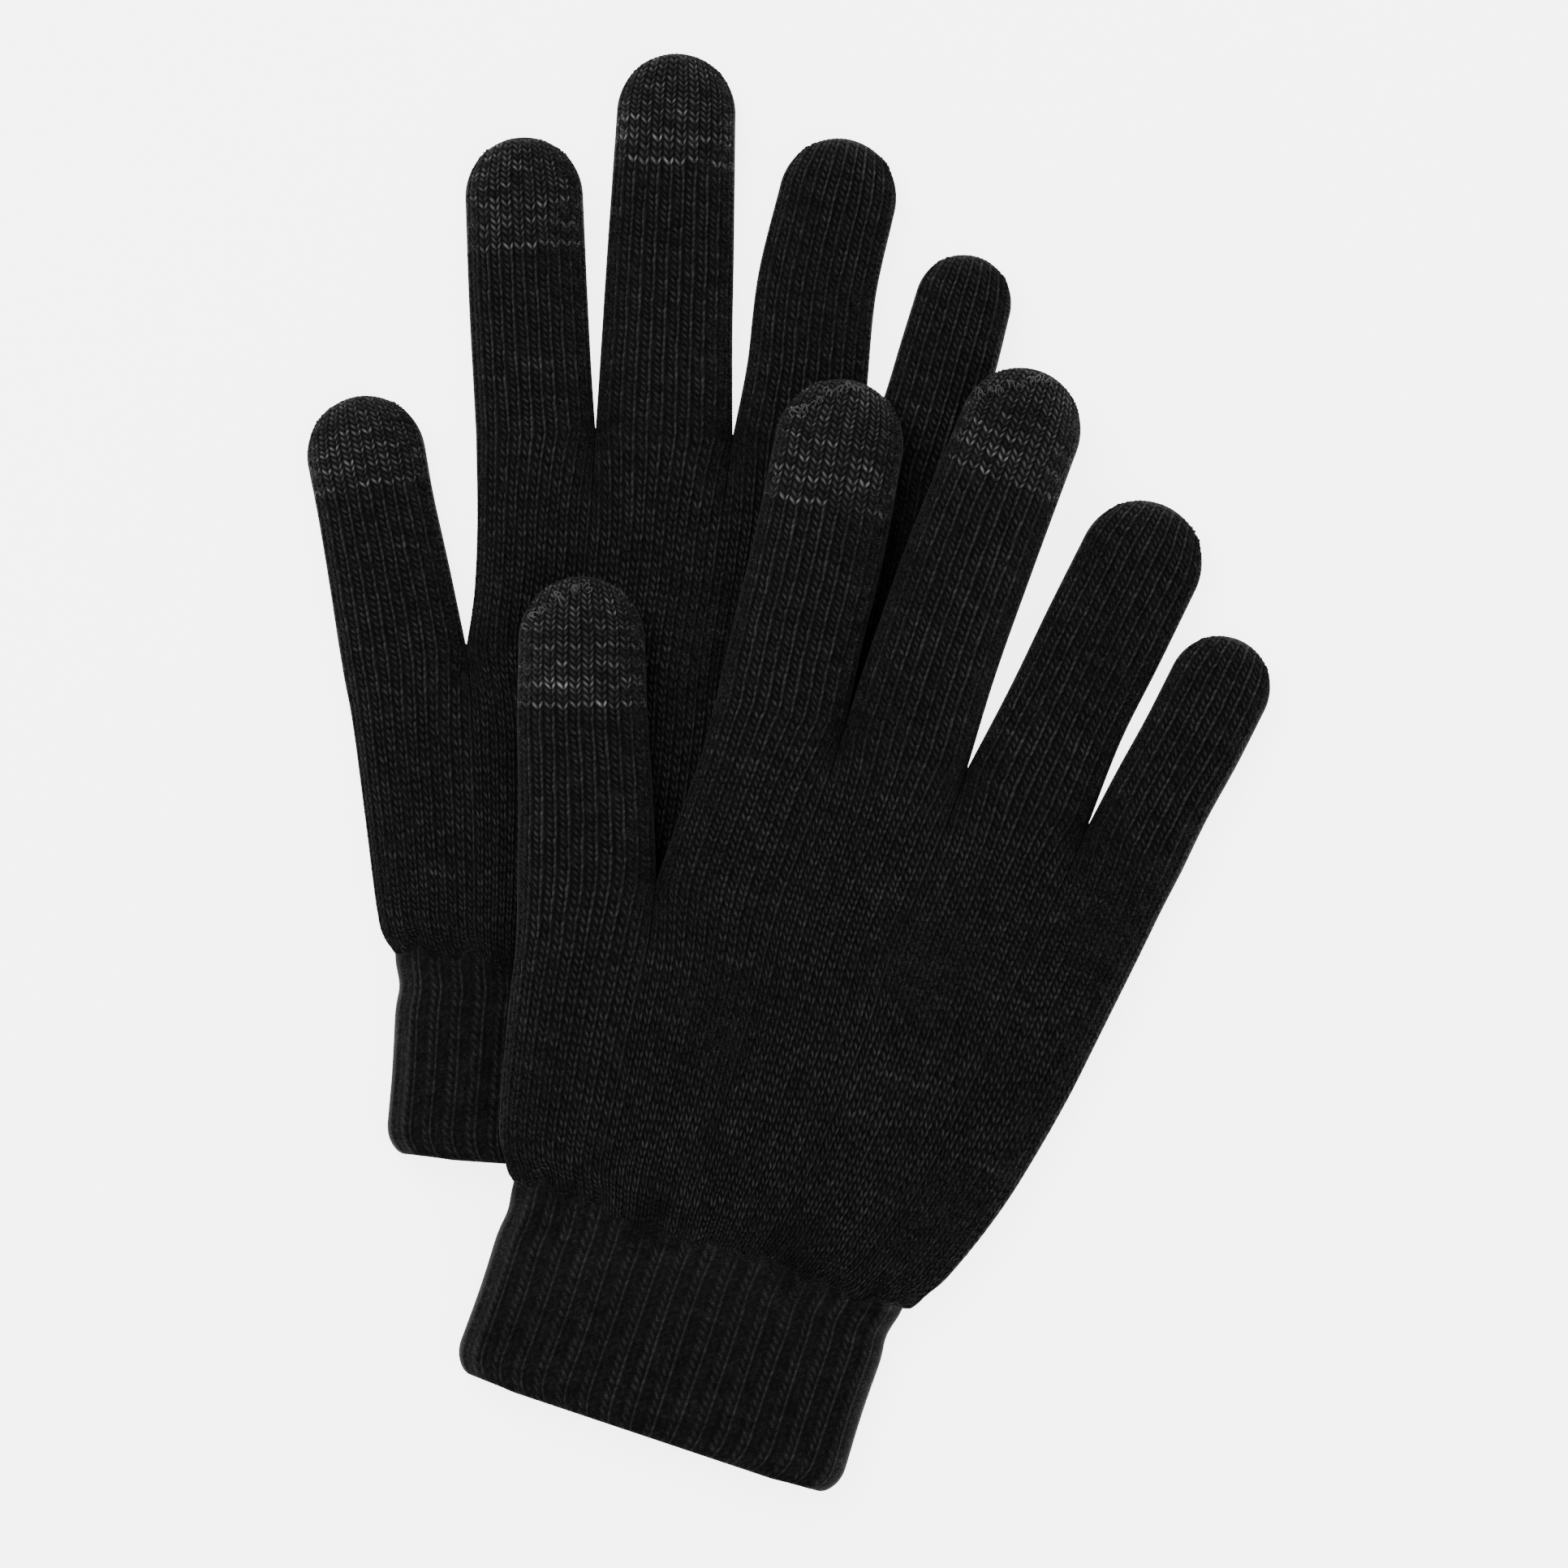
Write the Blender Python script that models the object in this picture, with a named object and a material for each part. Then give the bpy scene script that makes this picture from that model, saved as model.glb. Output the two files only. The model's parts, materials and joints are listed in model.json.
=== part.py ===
"""A pair of knitted touchscreen gloves, one lying partly over the other, palms flat.

Each glove is drawn in its own plan: millimetres, origin at the middle of the wrist, +Y towards the
fingertips. It is then turned and placed in the pair's frame (metres, +Z up, standing on Z = 0,
origin under the centre of the pair's bounding box). The over glove is draped over the under one.
"""

import math

import bmesh
import bpy
from mathutils import Vector

MM = 0.001

# ---- driving dimensions, millimetres ---------------------------------------------------------------
THICKNESS = 10.0            # outer height of a glove lying flat, two layers and the air between
KNIT_WALL = 1.6             # one layer of knit
SIDE_WALL = 1.9             # the knit folded round at each side
MIDLINE_SHARE = 0.42        # height of the widest line, as a share of the thickness
PIECE_GAP = 0.3             # clear space between two neighbouring pieces
CUFF_LENGTH = 36.0
HEM_LENGTH = 4.2
HEM_CORNER = 3.6            # how far the hem's corners are drawn in
ELASTIC_RADIUS = 0.3
ELASTIC_CLEARANCE = 0.5
ELASTIC_TURNS = 4
ELASTIC_END_MARGIN = 5.0
AXIS_LIFT = 0.2             # hinge axes lie this far above the upper surface
AXIS_SAMPLES = (-1.0, -0.5, 0.0, 0.5, 1.0)   # across the digit, where that surface is measured
DRAPE_CLEARANCE = 1.0       # air between the under glove and the over glove
DRAPE_SHELF = 4.0           # how far past the under glove's edge the over glove stays up
DRAPE_REACH = 34.0          # how far past that the over glove takes to come down
TIP_CAP_SHARE = 1.02        # length of the rounded fingertip, as a share of the half-width
TIP_WIDTH_POWER = 0.85      # how squarely the fingertip's width closes
TIP_HEIGHT_POWER = 0.5      # how squarely its height closes
PALM_ROUNDNESS = 8.0        # section of the palm and cuff: higher is flatter with tighter sides
DIGIT_ROUNDNESS = 2.6
ROOT_TURN = 2.5             # a digit's rows turn square to it within 1 / 2.5 of its length
DIRECTION_STEP = 0.02       # share of a digit over which its direction is measured

# ---- facets ---------------------------------------------------------------------------------------
FINGER_COLUMNS = (0.0, 0.07, 0.25, 0.5, 0.75, 0.93, 1.0)
EDGE_COLUMNS = (0.0, 0.012, 0.045, 0.11)
WIDEST_COLUMN = 0.14        # share of the palm's width
PALM_LOWER_ROWS = (0.0, 0.05, 0.13, 0.27, 0.45, 0.7, 1.0)
PALM_UPPER_ROWS = (0.0, 0.33, 0.67, 1.0)
CUFF_ROWS = (0.0, 0.2, 0.4, 0.6, 0.8, 1.0)
HEM_ROWS = (0.0, 0.45, 0.8, 1.0)
FINGER_ROWS = 4
CAP_ANGLES = (0.0, 26.0, 50.0, 70.0, 84.0)
THREAD_SIDES = 5
THREAD_STEPS = 22
THREAD_SIDE_POWER = 0.6     # the thread's turns are flattened ovals, full towards the sides
THREAD_RISE_POWER = 0.5
CUFF_SPREAD = (0.23, 0.37, 0.5)
SHARP_ANGLE = 50.0

FINGERS = ("index", "middle", "ring", "little")
DIGITS = ("thumb",) + FINGERS
CONDUCTIVE = ("thumb", "index", "middle")

# Knuckle place and start of the conductive tip, as shares of the finger's length.
KNUCKLE_SHARE = {"thumb": 0.46, "index": 0.46, "middle": 0.46, "ring": 0.47, "little": 0.6}

# ---- the two gloves as they lie --------------------------------------------------------------------
# tilt: degrees clockwise. wrist: the wrist's middle in the pair's plan, before centring.
# roots: the line across the finger roots, from the outer side of the index to that of the little.
# thumb_root: the line across the thumb root. Digit stations: centre x, centre y, half-width.
UNDER = {
    "tilt": 4.0,
    "wrist": (-39.1, -38.5),
    "left": [(-38.2, 0.0), (-41.0, 3.0), (-43.2, 8.5), (-47.2, 27.5), (-51.2, 46.5), (-53.7, 55.0)],
    "right": [(40.0, 0.0), (43.0, 3.0), (47.5, 9.5), (53.0, 26.5), (57.5, 46.5), (59.5, 61.2)],
    "upper_left": [(-28.8, 61.2), (-28.0, 72.0), (-28.4, 86.0), (-29.8, 102.8)],
    "upper_right": [(59.5, 61.2), (61.8, 75.0), (64.0, 88.0), (66.5, 99.5)],
    "cuff_half": (39.2, 38.6, 38.8),
    "cuff_centre": 1.0,
    "thumb_root": ((-53.7, 55.0), (-28.8, 61.2)),
    "roots": ((-29.8, 102.8), (-6.4, 105.4), (20.6, 106.0), (46.5, 104.2), (66.5, 99.5)),
    "tip_length": {"thumb": 19.5, "index": 20.5, "middle": 20.5},
    "stations": {
        "thumb": [(-45.2, 73.0, 12.6), (-49.0, 88.0, 12.2), (-50.9, 98.0, 11.8)],
        "index": [(-19.7, 115.5, 11.6), (-21.6, 131.0, 11.6), (-23.8, 149.0, 11.4)],
        "middle": [(6.3, 124.0, 12.8), (5.9, 141.0, 12.3), (5.4, 168.0, 11.4)],
        "ring": [(34.4, 120.0, 12.0), (35.1, 137.0, 11.8), (37.4, 154.5, 11.8)],
        "little": [(59.6, 114.5, 9.9), (62.0, 125.5, 9.8), (64.0, 135.3, 9.5)],
    },
}
OVER = {
    "tilt": 18.5,
    "wrist": (-15.8, -93.0),
    "left": [(-40.3, 0.0), (-43.0, 3.5), (-46.3, 9.0), (-51.4, 29.0), (-54.9, 45.5), (-58.4, 56.2)],
    "right": [(40.2, 0.0), (43.2, 3.2), (47.0, 9.5), (53.0, 26.5), (57.8, 48.5), (60.1, 64.5)],
    "upper_left": [(-32.4, 64.5), (-32.2, 78.0), (-31.9, 91.0), (-32.6, 102.0)],
    "upper_right": [(60.1, 64.5), (62.0, 78.0), (63.6, 90.0), (65.0, 99.0)],
    "cuff_half": (40.2, 39.8, 39.4),
    "cuff_centre": -0.4,
    "thumb_root": ((-58.4, 56.2), (-32.4, 64.5)),
    "roots": ((-32.6, 102.0), (-7.0, 105.0), (18.4, 104.7), (44.6, 101.7), (65.0, 99.0)),
    "tip_length": {"thumb": 25.5, "index": 25.5, "middle": 22.0},
    "stations": {
        "thumb": [(-50.5, 75.0, 13.2), (-56.2, 90.0, 12.8), (-61.2, 104.5, 12.4)],
        "index": [(-21.5, 119.5, 12.8), (-22.9, 136.0, 12.8), (-25.6, 157.0, 12.6)],
        "middle": [(5.4, 124.0, 12.5), (5.8, 145.0, 12.5), (7.1, 171.0, 12.0)],
        "ring": [(33.2, 121.0, 12.3), (35.4, 138.0, 12.4), (37.3, 154.5, 12.4)],
        "little": [(56.5, 112.0, 10.1), (58.7, 124.0, 10.1), (60.4, 135.6, 10.1)],
    },
}
GLOVES = {"under": UNDER, "over": OVER}

# ---- colours ---------------------------------------------------------------------------------------
MATERIALS = {
    "black_knit": ((0.012, 0.012, 0.013), 0.85),
    "rib_knit": ((0.011, 0.011, 0.012), 0.87),
    "conductive_knit": ((0.045, 0.044, 0.045), 0.6),
    "elastic": ((0.02, 0.02, 0.02), 0.7),
}


# ---- small maths -----------------------------------------------------------------------------------
def mix(a, b, share):
    return a + (b - a) * share


def smooth(share):
    share = min(1.0, max(0.0, share))
    return share * share * (3.0 - 2.0 * share)


def spline(points, share):
    """A Catmull-Rom curve through the points; share runs 0 to 1 by length."""
    vectors = [Vector(p) for p in points]
    ends = [2 * vectors[0] - vectors[1]] + vectors + [2 * vectors[-1] - vectors[-2]]
    lengths = [(b - a).length for a, b in zip(vectors, vectors[1:])]
    target = min(1.0, max(0.0, share)) * sum(lengths)
    span = 0
    while span < len(lengths) - 1 and target > lengths[span]:
        target -= lengths[span]
        span += 1
    t = min(1.0, target / lengths[span])
    p0, p1, p2, p3 = ends[span:span + 4]
    return 0.5 * (2 * p1 + (p2 - p0) * t + (2 * p0 - 5 * p1 + 4 * p2 - p3) * t ** 2
                  + (3 * p1 - p0 - 3 * p2 + p3) * t ** 3)


def polyline(points, shares, share):
    """The point at share along straight runs whose corners sit at the given shares."""
    for a, b, low, high in zip(points, points[1:], shares, shares[1:]):
        if share <= high:
            return Vector(a).lerp(Vector(b), (share - low) / (high - low))
    return Vector(points[-1])


def corner_shares(points):
    """Where each point lies along its run of straight lines, from 0 to 1."""
    lengths = [(Vector(b) - Vector(a)).length for a, b in zip(points, points[1:])]
    return [sum(lengths[:i]) / sum(lengths) for i in range(len(points))]


# ---- plan of one glove -----------------------------------------------------------------------------
def to_pair(glove, point):
    """From a glove's own plan to the pair's plan."""
    angle = math.radians(glove["tilt"])
    x = glove["wrist"][0] + point[0] * math.cos(angle) + point[1] * math.sin(angle)
    y = glove["wrist"][1] - point[0] * math.sin(angle) + point[1] * math.cos(angle)
    return Vector((x, y))


def root_line(glove, digit):
    """The left and right ends of the line where a digit joins the hand."""
    if digit == "thumb":
        left, right = glove["thumb_root"]
    else:
        place = FINGERS.index(digit)
        left, right = glove["roots"][place], glove["roots"][place + 1]
    return Vector(left), Vector(right)


def digit_centreline(glove, digit):
    """Stations (x, y, half-width) from the root to where the rounded tip starts."""
    left, right = root_line(glove, digit)
    centre = (left + right) / 2
    root = (centre.x, centre.y, (right - left).length / 2 - PIECE_GAP / 2)
    return [root] + glove["stations"][digit]


def digit_length(glove, digit):
    stations = digit_centreline(glove, digit)
    body = sum((Vector(b[:2]) - Vector(a[:2])).length for a, b in zip(stations, stations[1:]))
    return body, stations[-1][2] * TIP_CAP_SHARE


def digit_frame(glove, digit, share):
    """Centre, across direction, forward direction and half-width at share of the straight part."""
    stations = digit_centreline(glove, digit)
    here = spline(stations, share)
    ahead = spline(stations, min(1.0, share + DIRECTION_STEP))
    ahead -= spline(stations, max(0.0, share - DIRECTION_STEP))
    forward = Vector((ahead.x, ahead.y)).normalized()
    left, right = root_line(glove, digit)
    root_across = (right - left).normalized()
    across = root_across.lerp(Vector((forward.y, -forward.x)), smooth(share * ROOT_TURN)).normalized()
    return Vector((here.x, here.y)), across, Vector((-across.y, across.x)), here.z


def outline(glove):
    """The palm and cuff outline of a glove, in the pair's plan."""
    cuff_end = -CUFF_LENGTH - HEM_LENGTH
    cuff = glove["cuff_centre"]
    half = glove["cuff_half"][2]
    points = [(cuff - half, cuff_end)] + glove["left"] + glove["upper_left"][1:]
    points += list(glove["roots"][1:4])
    points += list(reversed(glove["right"] + glove["upper_right"][1:]))
    points += [(cuff + half, cuff_end)]
    return [to_pair(glove, p) for p in points]


def segment_distance(point, a, b):
    along = b - a
    share = min(1.0, max(0.0, (point - a).dot(along) / along.length_squared))
    return (point - (a + along * share)).length


def inside(point, corners):
    """Even-odd test of a point in a closed outline."""
    count = 0
    for a, b in zip(corners, corners[1:] + corners[:1]):
        if (a.y > point.y) != (b.y > point.y):
            count += point.x < a.x + (point.y - a.y) / (b.y - a.y) * (b.x - a.x)
    return count % 2 == 1


UNDER_OUTLINE = outline(UNDER)
UNDER_DIGITS = [
    (to_pair(UNDER, a), to_pair(UNDER, b), (a[2] + b[2]) / 2)
    for digit in FINGERS
    for a, b in zip(digit_centreline(UNDER, digit), digit_centreline(UNDER, digit)[1:])
]


def drape(point):
    """How high the over glove's lower face lies at a point of the pair's plan."""
    if inside(point, UNDER_OUTLINE):
        distance = 0.0
    else:
        edges = zip(UNDER_OUTLINE, UNDER_OUTLINE[1:] + UNDER_OUTLINE[:1])
        distance = min(segment_distance(point, a, b) for a, b in edges)
        fingers = [segment_distance(point, a, b) - half for a, b, half in UNDER_DIGITS]
        distance = max(0.0, min(distance, min(fingers)))
    return (THICKNESS + DRAPE_CLEARANCE) * (1.0 - smooth((distance - DRAPE_SHELF) / DRAPE_REACH))


# ---- cross-sections --------------------------------------------------------------------------------
def section_heights(column, height, roundness):
    """Lower and upper height of a flattened tube at a column (0 left side, 1 right side)."""
    reach = abs(2.0 * column - 1.0)
    middle = height * MIDLINE_SHARE
    upper = middle + (height - middle) * (1.0 - reach ** roundness) ** 0.5
    flat_share = 1.0 - 1.0 / roundness
    edge = max(0.0, (reach - flat_share) / (1.0 - flat_share))
    lower = middle * (1.0 - (1.0 - edge ** 2) ** 0.5)
    return lower, upper


def ring_points(place, columns, height, roundness, inset):
    """One ring round a tube. place(column, inset) gives the plan point of a column."""
    lift = KNIT_WALL if inset else 0.0
    heights = [section_heights(c, height - 2 * lift, roundness) for c in columns]
    top = [(place(c, inset), lift + h[1]) for c, h in zip(columns, heights)]
    bottom = [(place(c, inset), lift + h[0]) for c, h in zip(columns, heights)]
    return top + bottom[-2:0:-1]


# ---- meshes ----------------------------------------------------------------------------------------
def bridge(mesh, ring_a, ring_b):
    count = len(ring_a)
    for i in range(count):
        j = (i + 1) % count
        mesh.faces.new((ring_a[i], ring_a[j], ring_b[j], ring_b[i]))


def tube_mesh(outer_rings, inner_rings, closed_end):
    """A tube of knit: outer rings up, inner rings inside, joined at each open end."""
    mesh = bmesh.new()
    outer = [[mesh.verts.new(p) for p in ring] for ring in outer_rings]
    inner = [[mesh.verts.new(p) for p in ring] for ring in inner_rings]
    for rings in (outer, inner):
        for ring_a, ring_b in zip(rings, rings[1:]):
            bridge(mesh, ring_a, ring_b)
    bridge(mesh, outer[0], inner[0])
    if closed_end:
        mesh.faces.new(outer[-1])
        mesh.faces.new(inner[-1])
    else:
        bridge(mesh, outer[-1], inner[-1])
    bmesh.ops.triangulate(mesh, faces=mesh.faces[:])
    bmesh.ops.recalc_face_normals(mesh, faces=mesh.faces[:])
    if mesh.calc_volume(signed=True) < 0:
        bmesh.ops.reverse_faces(mesh, faces=mesh.faces[:])
    return mesh


def thread_mesh(route):
    """A thin round thread along the route, with flat ends."""
    mesh = bmesh.new()
    rings = []
    for i, point in enumerate(route):
        ahead = (route[min(i + 1, len(route) - 1)] - route[max(i - 1, 0)]).normalized()
        side = ahead.cross(Vector((0, 1, 0.05))).normalized()
        up = side.cross(ahead)
        angles = [math.tau * k / THREAD_SIDES for k in range(THREAD_SIDES)]
        rings.append([
            mesh.verts.new(point + (side * math.cos(a) + up * math.sin(a)) * ELASTIC_RADIUS)
            for a in angles
        ])
    for ring_a, ring_b in zip(rings, rings[1:]):
        bridge(mesh, ring_a, ring_b)
    mesh.faces.new(rings[0])
    mesh.faces.new(rings[-1])
    bmesh.ops.recalc_face_normals(mesh, faces=mesh.faces[:])
    if mesh.calc_volume(signed=True) < 0:
        bmesh.ops.reverse_faces(mesh, faces=mesh.faces[:])
    return mesh


class Hand:
    """One glove: turns plan points and heights into points of the pair, and collects its pieces."""

    def __init__(self, name):
        self.name = name
        self.plan = GLOVES[name]
        self.draped = name == "over"
        self.meshes = {}

    def point(self, plan_point, height):
        """Millimetres, in the pair's plan before centring."""
        at = to_pair(self.plan, plan_point)
        floor = drape(at) if self.draped else 0.0
        return Vector((at.x, at.y, floor + height))

    def rings(self, place_rows, columns, height, roundness, inset):
        rings = []
        for place, row_height in place_rows:
            points = ring_points(place, columns, height * row_height, roundness, inset)
            rings.append([self.point(plan, z) for plan, z in points])
        return rings

    def add(self, piece, mesh, material):
        self.meshes[f"{self.name}_{piece}"] = (mesh, material)

    # -- hand --
    def sheet_place(self, left, right, corners, row, first, last):
        """Plan point of a column on a row between two outlines, ending on a line of corners."""
        shares = corner_shares(corners)
        start, end = spline(left, 1.0), spline(right, 1.0)

        def place(column, inset):
            along = mix(first, last, row)
            lower, upper = spline(left, along), spline(right, along)
            if inset:
                shift = (upper - lower).normalized() * SIDE_WALL
                lower, upper = lower + shift, upper - shift
            crown = polyline(corners, shares, column) - start.lerp(end, column)
            return lower.lerp(upper, column) + crown * along ** 2

        return place

    def palm(self, piece, left, right, corners, rows):
        shares = corner_shares(corners)
        stops = [EDGE_COLUMNS[-1]] + shares[1:-1] + [1 - EDGE_COLUMNS[-1]]
        columns = list(EDGE_COLUMNS[:-1])
        for low, high in zip(stops, stops[1:]):
            count = math.ceil((high - low) / WIDEST_COLUMN)
            columns += [mix(low, high, i / count) for i in range(count)]
        columns += [1 - c for c in reversed(EDGE_COLUMNS)]
        length = (Vector(left[-1]) - Vector(left[0])).length
        first = PIECE_GAP / 2 / length
        places = [(self.sheet_place(left, right, corners, row, first, 1 - first), 1.0) for row in rows]
        outer = self.rings(places, columns, THICKNESS, PALM_ROUNDNESS, False)
        inner = self.rings(places, columns, THICKNESS, PALM_ROUNDNESS, True)
        self.add(piece, tube_mesh(outer, inner, False), "black_knit")

    def palms(self):
        plan = self.plan
        lower_top = [plan["thumb_root"][0], plan["thumb_root"][1], plan["right"][-1]]
        self.palm("palm_lower", plan["left"], plan["right"], lower_top, PALM_LOWER_ROWS)
        self.palm("palm_upper", plan["upper_left"], plan["upper_right"], plan["roots"],
                  PALM_UPPER_ROWS)

    # -- cuff --
    def cuff_place(self, y, half):
        centre = self.plan["cuff_centre"]

        def place(column, inset):
            reach = half - (SIDE_WALL if inset else 0.0)
            return Vector((centre + (2 * column - 1) * reach, y))

        return place

    def cuff_columns(self):
        left = list(EDGE_COLUMNS + CUFF_SPREAD)
        return left + [1 - c for c in reversed(left[:-1])]

    def cuff(self):
        halves = self.plan["cuff_half"]
        columns = self.cuff_columns()
        top, bottom = -PIECE_GAP / 2, -CUFF_LENGTH + PIECE_GAP / 2
        places = []
        for share in CUFF_ROWS:
            half = spline([(halves[0], 0.0), (halves[1], 0.5), (halves[2], 1.0)], share).x
            places.append((self.cuff_place(mix(top, bottom, share), half), 1.0))
        outer = self.rings(places, columns, THICKNESS, PALM_ROUNDNESS, False)
        inner = self.rings(places, columns, THICKNESS, PALM_ROUNDNESS, True)
        self.add("cuff", tube_mesh(outer, inner, False), "rib_knit")

    def hem(self):
        half = self.plan["cuff_half"][2]
        columns = self.cuff_columns()
        start, end = -CUFF_LENGTH - PIECE_GAP / 2, -CUFF_LENGTH - HEM_LENGTH
        places = []
        for share in HEM_ROWS:
            drawn = HEM_CORNER * (1.0 - math.sqrt(1.0 - share ** 2))
            places.append((self.cuff_place(mix(start, end, share), half - drawn), 1.0))
        outer = self.rings(places, columns, THICKNESS, PALM_ROUNDNESS, False)
        inner = self.rings(places, columns, THICKNESS, PALM_ROUNDNESS, True)
        self.add("cuff_hem", tube_mesh(outer, inner, False), "rib_knit")

    def elastic(self):
        """One elastic thread laid into the cuff in a flattened helix."""
        half = min(self.plan["cuff_half"]) - SIDE_WALL - ELASTIC_RADIUS - 2 * ELASTIC_CLEARANCE
        inset = KNIT_WALL + ELASTIC_RADIUS + ELASTIC_CLEARANCE
        height = THICKNESS - 2 * inset
        steps = ELASTIC_TURNS * THREAD_STEPS
        top, bottom = -ELASTIC_END_MARGIN, -CUFF_LENGTH + ELASTIC_END_MARGIN
        route = []
        for i in range(steps + 1):
            turn = math.tau * i / THREAD_STEPS
            reach = math.copysign(abs(math.cos(turn)) ** THREAD_SIDE_POWER, math.cos(turn))
            rise = math.copysign(abs(math.sin(turn)) ** THREAD_RISE_POWER, math.sin(turn))
            x = self.plan["cuff_centre"] + reach * half
            y = mix(top, bottom, i / steps)
            route.append(self.point((x, y), inset + height * (0.5 + rise / 2)))
        self.add("cuff_elastic", thread_mesh(route), "elastic")

    # -- digits --
    def digit_place(self, digit, share, cap_angle=None, shrink=0.0):
        """Plan place of a digit's ring; past the straight part, cap_angle rounds the tip."""
        centre, across, forward, half = digit_frame(self.plan, digit, share)
        if cap_angle is not None:
            reach = half * TIP_CAP_SHARE - shrink
            centre = centre + forward * reach * math.sin(cap_angle)
            half = half * math.cos(cap_angle) ** TIP_WIDTH_POWER

        def place(column, inset):
            width = max(half - (SIDE_WALL * math.cos(cap_angle or 0.0) if inset else 0.0), 0.2)
            return centre + across * (2 * column - 1) * width

        return place

    def digit_tube(self, piece, digit, start, end, capped, material):
        """A run of a digit from start to end of its straight part, capped or open."""
        body, _ = digit_length(self.plan, digit)
        gap = PIECE_GAP / 2 / body
        low, high = start + gap, (end if capped else end - gap)
        rows = [mix(low, high, i / (FINGER_ROWS - 1)) for i in range(FINGER_ROWS)]
        places = [(self.digit_place(digit, share), 1.0) for share in rows]
        outer_places, inner_places = list(places), list(places)
        if capped:
            for angle in CAP_ANGLES[1:]:
                turn = math.radians(angle)
                height = math.cos(turn) ** TIP_HEIGHT_POWER
                outer_places.append((self.digit_place(digit, 1.0, turn), height))
            for angle in CAP_ANGLES[1:-1]:
                turn = math.radians(angle)
                height = math.cos(turn) ** TIP_HEIGHT_POWER
                inner_places.append((self.digit_place(digit, 1.0, turn, SIDE_WALL), height))
        outer = self.rings(outer_places, FINGER_COLUMNS, THICKNESS, DIGIT_ROUNDNESS, False)
        inner = self.rings(inner_places, FINGER_COLUMNS, THICKNESS, DIGIT_ROUNDNESS, True)
        self.add(piece, tube_mesh(outer, inner, capped), material)

    def digit(self, digit):
        body, cap = digit_length(self.plan, digit)
        knuckle = KNUCKLE_SHARE[digit] * (body + cap) / body
        self.digit_tube(f"{digit}_base", digit, 0.0, knuckle, False, "black_knit")
        if digit not in CONDUCTIVE:
            self.digit_tube(f"{digit}_end", digit, knuckle, 1.0, True, "black_knit")
            return
        tip = 1.0 - (self.plan["tip_length"][digit] - cap) / body
        self.digit_tube(f"{digit}_end", digit, knuckle, tip, False, "black_knit")
        self.digit_tube(f"{digit}_tip", digit, tip, 1.0, True, "conductive_knit")

    def axis_ends(self, digit, share):
        """The two ends of a level hinge line, just above the highest point of the surface below it."""
        centre, across, _, half = digit_frame(self.plan, digit, share)
        surface = [self.point(centre + across * half * reach, THICKNESS) for reach in AXIS_SAMPLES]
        height = max(point.z for point in surface) + AXIS_LIFT
        return [Vector((end.x, end.y, height)) for end in (surface[0], surface[-1])]

    def hinges(self):
        """Pivot and direction of each digit's root and knuckle; positive curls the digit up."""
        found = {}
        for digit in DIGITS:
            body, cap = digit_length(self.plan, digit)
            knuckle = KNUCKLE_SHARE[digit] * (body + cap) / body
            for joint, share in (("root", 0.0), ("knuckle", knuckle)):
                left, right = self.axis_ends(digit, share)
                pivot = (left + right) / 2
                found[f"{self.name}_{digit}_{joint}"] = (pivot, (right - left).normalized())
        return found

    def build(self):
        self.palms()
        self.cuff()
        self.hem()
        self.elastic()
        for digit in DIGITS:
            self.digit(digit)


# ---- scene -----------------------------------------------------------------------------------------
def clear_scene():
    for obj in list(bpy.data.objects):
        bpy.data.objects.remove(obj, do_unlink=True)


def make_material(node, kind):
    colour, roughness = MATERIALS[kind]
    material = bpy.data.materials.new(f"{node}_{kind}")
    material.use_nodes = True
    shader = material.node_tree.nodes["Principled BSDF"]
    shader.inputs["Base Color"].default_value = (*colour, 1.0)
    shader.inputs["Roughness"].default_value = roughness
    shader.inputs["Metallic"].default_value = 0.0
    return material


def make_empty(name, location, parent):
    empty = bpy.data.objects.new(name, None)
    empty.empty_display_size = 0.01
    bpy.context.collection.objects.link(empty)
    empty.parent = parent
    empty.location = location - (world_place(parent) if parent else Vector())
    return empty


def world_place(obj):
    place = Vector(obj.location)
    while obj.parent:
        obj = obj.parent
        place += Vector(obj.location)
    return place


def make_node(node, mesh, kind, parent, shift):
    """A mesh in millimetres becomes an object in metres, with its origin on its parent empty."""
    origin = world_place(parent)
    for vertex in mesh.verts:
        vertex.co = vertex.co * MM - shift - origin
    data = bpy.data.meshes.new(node)
    mesh.to_mesh(data)
    mesh.free()
    data.shade_smooth()
    data.set_sharp_from_angle(angle=math.radians(SHARP_ANGLE))
    data.materials.append(make_material(node, kind))
    obj = bpy.data.objects.new(node, data)
    bpy.context.collection.objects.link(obj)
    obj.parent = parent


def pair_shift(hands):
    """What brings the pair's bounding box over the origin, in metres."""
    points = [v.co * MM for hand in hands for mesh, _ in hand.meshes.values() for v in mesh.verts]
    low = [min(p[i] for p in points) for i in range(3)]
    high = [max(p[i] for p in points) for i in range(3)]
    return Vector(((low[0] + high[0]) / 2, (low[1] + high[1]) / 2, low[2]))


def parent_joint(hand, node):
    """The joint a node moves on, or None for the hand itself."""
    piece = node[len(hand.name) + 1:]
    digit, _, part = piece.partition("_")
    if digit not in DIGITS:
        return None
    return f"{hand.name}_{digit}_root" if part == "base" else f"{hand.name}_{digit}_knuckle"


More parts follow.
